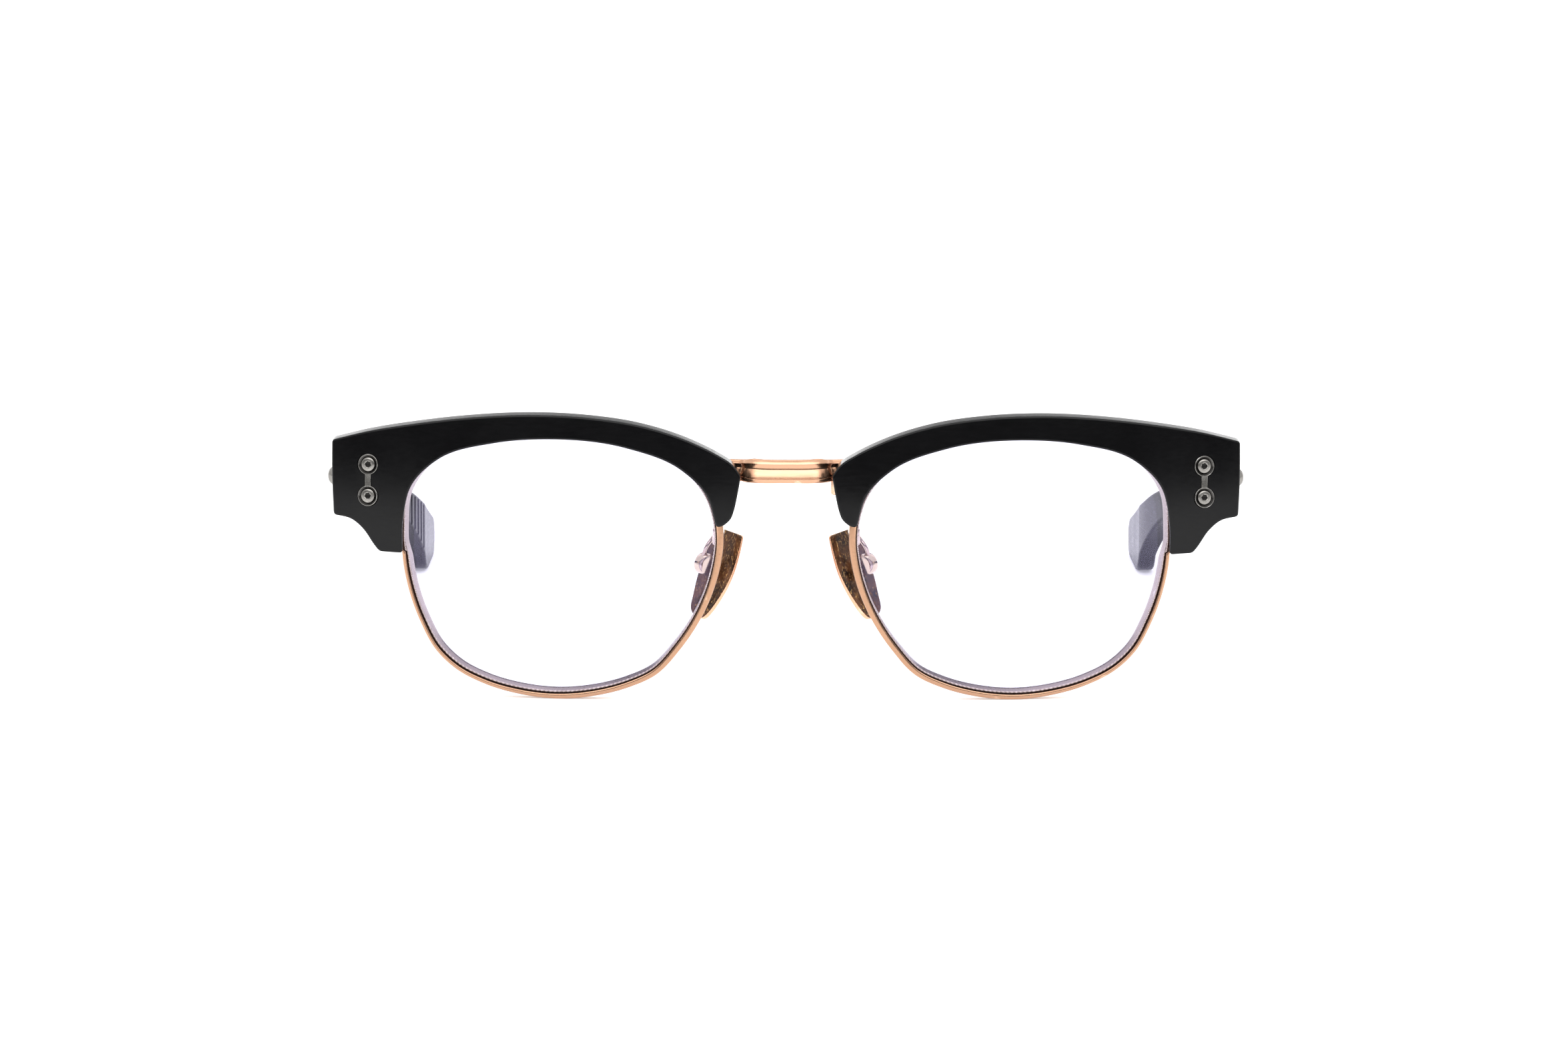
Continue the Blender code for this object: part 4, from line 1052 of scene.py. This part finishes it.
def make_hinge_temple():
    """Hinge leaf on the inside of the temple, with the two knuckles between."""
    outer = TEMPLE_INNER_X - GAP
    start = PIVOT.y + KNUCKLE_RADIUS + GAP
    low, high = (PIVOT.z + z for z in TEMPLE_LEAF_Z)
    leaf = box((outer - HINGE_PLATE, start, low), (outer + 0.25, start + TEMPLE_LEAF_LENGTH, high), 0.25)
    joined = []
    for low, high in knuckle_heights(1):
        joined += [box((*PIVOT.xy, low), (outer - 0.05, start + 0.5, high), 0.1), knuckle(low, high)]
    rivet = [(0.0, 0.22), (0.45, 0.2), (0.7, 0.08), (0.78, -0.1), (0.0, -0.1)]
    for z in RIVET_Z:
        place = (outer - HINGE_PLATE, start + RIVET_BACK, PIVOT.z + z)
        joined.append(turned(rivet, 32, facing(place, -X_AXIS)))
    return combined(leaf, "UNION", joined)


def make_hinge_screw():
    """Hinge pin with a slotted head on top."""
    length = KNUCKLE_COUNT * KNUCKLE_PITCH
    profile = [(0.0, 0.6), (0.6, 0.58), (0.95, 0.5), (1.12, 0.32), (1.15, 0.12), (1.1, 0.0),
               (PIN_RADIUS, 0.0), (PIN_RADIUS, -length), (PIN_RADIUS - 0.15, -length - 0.15),
               (0.0, -length - 0.15)]
    return combined(turned(profile), "DIFFERENCE", [box((-2.0, -0.16, 0.34), (2.0, 0.16, 2.0))])


# ---- temple
def bend_in(y):
    """How far the temple has moved in towards the head at a depth."""
    share = share_of(y, TEMPLE_BEND_START, TEMPLE_BEND_END)
    past = max(0.0, y - TEMPLE_BEND_END)
    eased_share = TEMPLE_BEND_EASE * gentle(share) + (1.0 - TEMPLE_BEND_EASE) * share
    return TEMPLE_BEND * eased_share + TEMPLE_TIP_LEAN * past


def make_temple(fluted):
    """Acetate temple: a tapered bar with a paddle tip, a pocket for its plaque and, on one side, flutes."""
    outline = smooth_run(TEMPLE_TOP[2:], 1.2)[:-1] + smooth_run(TEMPLE_TIP, 0.5)
    outline += smooth_run(TEMPLE_BOTTOM[:6], 1.2)
    middle = (TEMPLE_TOP[0][1] + TEMPLE_BOTTOM[-1][1]) / 2.0
    start = face_sag(TEMPLE_OUTER_X, middle) + BROW_BACK + GAP
    straight = [TEMPLE_BOTTOM[6], (start, TEMPLE_BOTTOM[-1][1]), (start, TEMPLE_TOP[0][1]), TEMPLE_TOP[1]]
    outline = eased(outline + [Vector(p).to_3d() for p in straight], 0.6, 2)
    temple = slab(outline, TEMPLE_INNER_X, TEMPLE_OUTER_X, TEMPLE_EDGE, TEMPLE_EDGE, side_plane)
    cuts = [slab(pocket_outline(SIDE_PLAQUE_CENTRES), TEMPLE_OUTER_X - PLAQUE_POCKET,
                 TEMPLE_OUTER_X + 2.0 * CUT_PAST, plane=side_plane)]
    axis_x = TEMPLE_INNER_X - FLUTE_AXIS_OUT
    for y in FLUTES if fluted else ():
        low, high = blended(sorted(TEMPLE_BOTTOM), y) + 0.5, blended(TEMPLE_TOP, y) - 0.5
        cuts.append(rod((axis_x, y, low), (axis_x, y, high), FLUTE_RADIUS, 0.3, 24))
    temple = combined(temple, "DIFFERENCE", cuts)
    slices = int(max(TEMPLE_TIP)[0] / TEMPLE_SLICE)
    sliced(temple, [(Y_AXIS * TEMPLE_SLICE * (i + 1), Y_AXIS) for i in range(slices)])
    for vert in temple.data.vertices:
        near = max(0.0, 1.0 - (vert.co.y - start) / 3.0)
        vert.co.y += near * (face_sag(vert.co.x, vert.co.z) + BROW_BACK + GAP - start)
        bend = bend_in(vert.co.y)
        outwards = (vert.co.x - TEMPLE_INNER_X) / TEMPLE_THICKNESS
        vert.co.x -= bend + outwards * TEMPLE_TAPER * bend / TEMPLE_BEND
    return temple


def make_temple_hardware():
    """Side plaque and its two raised screws."""
    plaque = make_plaque(SIDE_PLAQUE_CENTRES, side_plane)
    plaque.data.transform(Matrix.Diagonal((-1.0, 1.0, 1.0, 1.0)))
    shifted(plaque, X_AXIS * (TEMPLE_OUTER_X + PLAQUE_PROUD))
    plaque.data.flip_normals()
    pair(plaque, "temple_plaque", "plaque_metal", "temple_arm")
    seat = TEMPLE_OUTER_X - PLAQUE_POCKET + SEAT
    top = TEMPLE_OUTER_X + SIDE_SCREW_REACH - seat
    dome = [(0.0, 0.0), (0.5, 0.0), (0.72, 0.06), (0.95, 0.18), (1.2, 0.38), (1.38, 0.62), (1.48, 0.88),
            (1.47, 0.94), (1.4, 0.98), (1.05, 1.0)]
    profile = [(radius, top - drop) for radius, drop in dome] + [(1.05, 0.0), (0.0, 0.0)]
    for name, centre in zip(("temple_screw_front", "temple_screw_rear"), SIDE_PLAQUE_CENTRES):
        socket = turned([(0.0, top - 0.75), (0.48, top - 0.6), (0.5, top + 1.0), (0.0, top + 1.0)], 6)
        screw = combined(turned(profile), "DIFFERENCE", [socket])
        # The socket's faces get painted shade, a near-black material
        with_painted_shade(screw, lambda c: 0.1 < c.z < top - 0.05 and c.xy.length < 0.49)
        pair(screw, name, "screw_metal", "temple_arm", local=facing((seat, *centre), X_AXIS))


# ---- nose pads
def pad_frame():
    """Frame of the nose pad: x rearwards, y upwards, z away from the nose."""
    rear = Vector(PAD_REAR).normalized()
    up = (Vector(PAD_UP) - rear * Vector(PAD_UP).dot(rear)).normalized()
    return Matrix.Translation(PAD_CENTRE) @ Matrix((rear, up, rear.cross(up))).transposed().to_4x4()


def make_pads():
    """Pad in two layers, its lug, its screw, and the arm with its barrel."""
    frame_matrix = pad_frame()
    pivot = frame_matrix @ Matrix.Translation(PAD_PIVOT)
    outline = eased(smooth_run(PAD_OUTLINE, 0.3), 0.3, 2)
    shell_back = -PAD_HALF + PAD_SHELL
    offset = Vector(PAD_PIVOT)
    body = slab(inset(outline, 0.1), shell_back - 0.05, PAD_HALF, 0.0, 0.18, pad_plane)
    oval = [Vector((offset.x + 1.2 * math.cos(t), offset.y + 1.5 * math.sin(t), 0.0)) for t in around(40)]
    boss = slab(oval, 0.2, PAD_HALF + 0.25, 0.0, 0.22, pad_plane)
    lug = rod((-0.5, 0.0, 0.0), (0.5, 0.0, 0.0), 0.85, 0.12)
    stem = box((-0.5, -0.85, PAD_HALF - 0.2 - offset.z), (0.5, 0.85, 0.0), 0.1)
    tongue = shifted(combined(lug, "UNION", [stem]), offset)
    pad = combined(body, "UNION", [boss, tongue])
    pad.data.transform(frame_matrix)
    pair(pad, "nose_pad", "pad_plastic", "pad")
    shell = slab(outline, -PAD_HALF, shell_back, 0.25, 0.05, pad_plane)
    for vert in shell.data.vertices:
        if vert.co.z > shell_back - 0.1:
            vert.co.z += PAD_SHELL_SWELL * (1.0 - vert.co.y / PAD_OUTLINE[0][1])
    shell.data.transform(frame_matrix)
    pair(shell, "nose_pad_edge", "pad_plastic", "pad", nodes=[], material=PAD_SHELL_METAL)

    barrel = rod((-BARREL_HALF, 0.0, 0.0), (BARREL_HALF, 0.0, 0.0), BARREL_RADIUS, 0.3, 48)
    slot = box((-BARREL_SLOT, -1.35, -2.5), (BARREL_SLOT, 1.0, 0.93))
    barrel.data.transform(Matrix.Diagonal((1.0, BARREL_STRETCH, 1.0, 1.0)))
    shifted(barrel, Y_AXIS * -BARREL_DROP)
    barrel = combined(barrel, "DIFFERENCE", [slot])
    barrel.data.transform(pivot)
    path = [Vector(p) for p in PAD_ARM_PATH] + [pivot @ Vector((0.0, 0.9, 0.9))]
    arm = wire(smooth_run(path, 0.25), PAD_ARM_RADIUS, PAD_ARM_END_RADIUS)
    foot = box((10.5, BROW_BACK - 0.1, 24.6), (11.7, BROW_BACK + 1.1, 27.4), 0.35)
    arm = combined(arm, "UNION", [barrel, foot])
    pair(arm, "pad_arm", "bridge_metal", material=ARM_METAL)
    local = pivot @ facing(X_AXIS * BARREL_HALF, X_AXIS)
    screw_pair("pad_screw", "fixing_steel", local, 0.3, 2.1, 0.75, 0.3, PAD_SCREW_RADIUS)


def make_pieces():
    """Every visible piece of the eyeglasses."""
    pair(make_brow(), "brow", "brow_acetate")
    pair(make_rim(), "rim", "rim_metal")
    pair(make_beading(), "rim_beading", "rim_metal", nodes=[], material=LINER_METAL)
    pair(make_lens(), "lens", "lens_plastic")
    single(make_bridge(), "bridge_look", "front", "bridge_metal", ["bridge"], False)
    for hand, side in SIDES:
        single(make_bridge_lug(hand), hand + "_bridge_lug_look", "front", "bridge_metal", [], side < 0.0)
    make_front_hardware()
    make_brow_screw()
    make_lock()
    pair(make_hinge_front(), "hinge_front", "hinge_metal")
    pair(make_hinge_temple(), "hinge_temple", "hinge_metal", "temple_arm")
    top = PIVOT + Z_AXIS * (KNUCKLE_COUNT * KNUCKLE_PITCH / 2.0 + SEAT)
    pair(make_hinge_screw(), "hinge_screw", "fixing_steel", local=Matrix.Translation(top))
    for hand, side in SIDES:
        single(make_temple(fluted=side < 0.0), hand + "_temple_look", hand + "_temple_arm", "temple_acetate",
               [hand + "_temple"], side < 0.0)
        core = frame["nodes"][hand + "_temple_core_wire"]
        core.data.materials.clear()
        core.data.materials.append(MATERIALS["fixing_steel"])
    make_temple_hardware()
    make_pads()


# ---- stage, light and camera
def make_floor():
    """Pale matt floor with a faint grain."""
    shape = bmesh.new()
    bmesh.ops.create_grid(shape, x_segments=24, y_segments=24, size=6.0)
    mesh = bpy.data.meshes.new("floor")
    shape.to_mesh(mesh)
    shape.free()
    nodes = Nodes("floor_pale")
    grain = nodes.noise(40.0, 4.0)
    nodes.set("Base Color", nodes.mix(grain, (0.93, 0.93, 0.93), (0.95, 0.95, 0.95)))
    nodes.set("Roughness", nodes.spread(grain, 0.7, 0.8))
    nodes.set("Specular IOR Level", 0.2)
    nodes.set("Emission Color", (1.0, 1.0, 1.0))
    nodes.set("Emission Strength", nodes.spread(grain, 0.34, 0.36))
    mesh.materials.append(nodes.material)
    linked("floor", mesh)


def make_world():
    """White studio surround, brighter behind, with a dark band low in front and a dark patch behind."""
    world = bpy.data.worlds.new("studio")
    bpy.context.scene.world = world
    world.use_nodes = True
    nodes = Tree(world.node_tree)
    direction = nodes.node("ShaderNodeTexCoord").outputs["Generated"]
    split = nodes.node("ShaderNodeSeparateXYZ", {0: direction}).outputs

    def step(axis, start, end, low=0.0, high=1.0):
        return nodes.spread(split[axis], low, high, start, end, interpolation_type="SMOOTHSTEP")

    patches = []
    for limits in (DARK_IN_FRONT, DARK_BEHIND):
        patch = step(*limits[0])
        for limit in limits[1:]:
            patch = nodes.math("MULTIPLY", patch, step(*limit))
        patches.append(patch)
    ramp = nodes.node("ShaderNodeValToRGB", {0: nodes.math("ADD", *patches)})
    ramp.color_ramp.elements[0].color = (1.0, 1.0, 1.0, 1.0)
    ramp.color_ramp.elements[1].color = (0.02, 0.02, 0.02, 1.0)
    background = world.node_tree.nodes["Background"]
    nodes.fill(background, "Color", ramp.outputs[0])
    nodes.fill(background, "Strength", step(*BRIGHT_BEHIND))


def area_light(name, place, target, size, power):
    """A rectangular softbox aimed at a point."""
    data = bpy.data.lights.new(name, "AREA")
    data.shape = "RECTANGLE"
    data.size, data.size_y = size
    data.energy = power
    light = linked(name, data)
    light.location = place
    light.rotation_euler = (Vector(target) - Vector(place)).to_track_quat("-Z", "Y").to_euler()


def make_camera():
    """Camera in front of the glasses and a little above them."""
    aim = Vector(CAMERA_AIM) * MM
    back, up = CAMERA_DISTANCE * math.cos(CAMERA_TILT), CAMERA_DISTANCE * math.sin(CAMERA_TILT)
    place = aim + Vector((CAMERA_SIDEWAYS, -back, up))
    data = bpy.data.cameras.new("camera")
    data.sensor_width = 36.0
    data.lens = CAMERA_LENS
    data.clip_start = 0.02
    camera = linked("camera", data)
    turn = (aim - place).to_track_quat("-Z", "Y").to_matrix().to_4x4()
    camera.matrix_world = Matrix.Translation(place) @ turn @ Matrix.Rotation(CAMERA_ROLL, 4, "Z")
    bpy.context.scene.camera = camera


make_pieces()
make_floor()
make_world()
area_light("top_softbox", (0.0, -0.1, 1.3), (0.0, 0.0, 0.0), (1.6, 1.2), 6.0)
area_light("front_softbox", (0.0, -1.5, 1.0), (0.0, 0.0, 0.03), (2.8, 0.6), 14.0)
make_camera()
bpy.context.scene.view_settings.view_transform = "Standard"
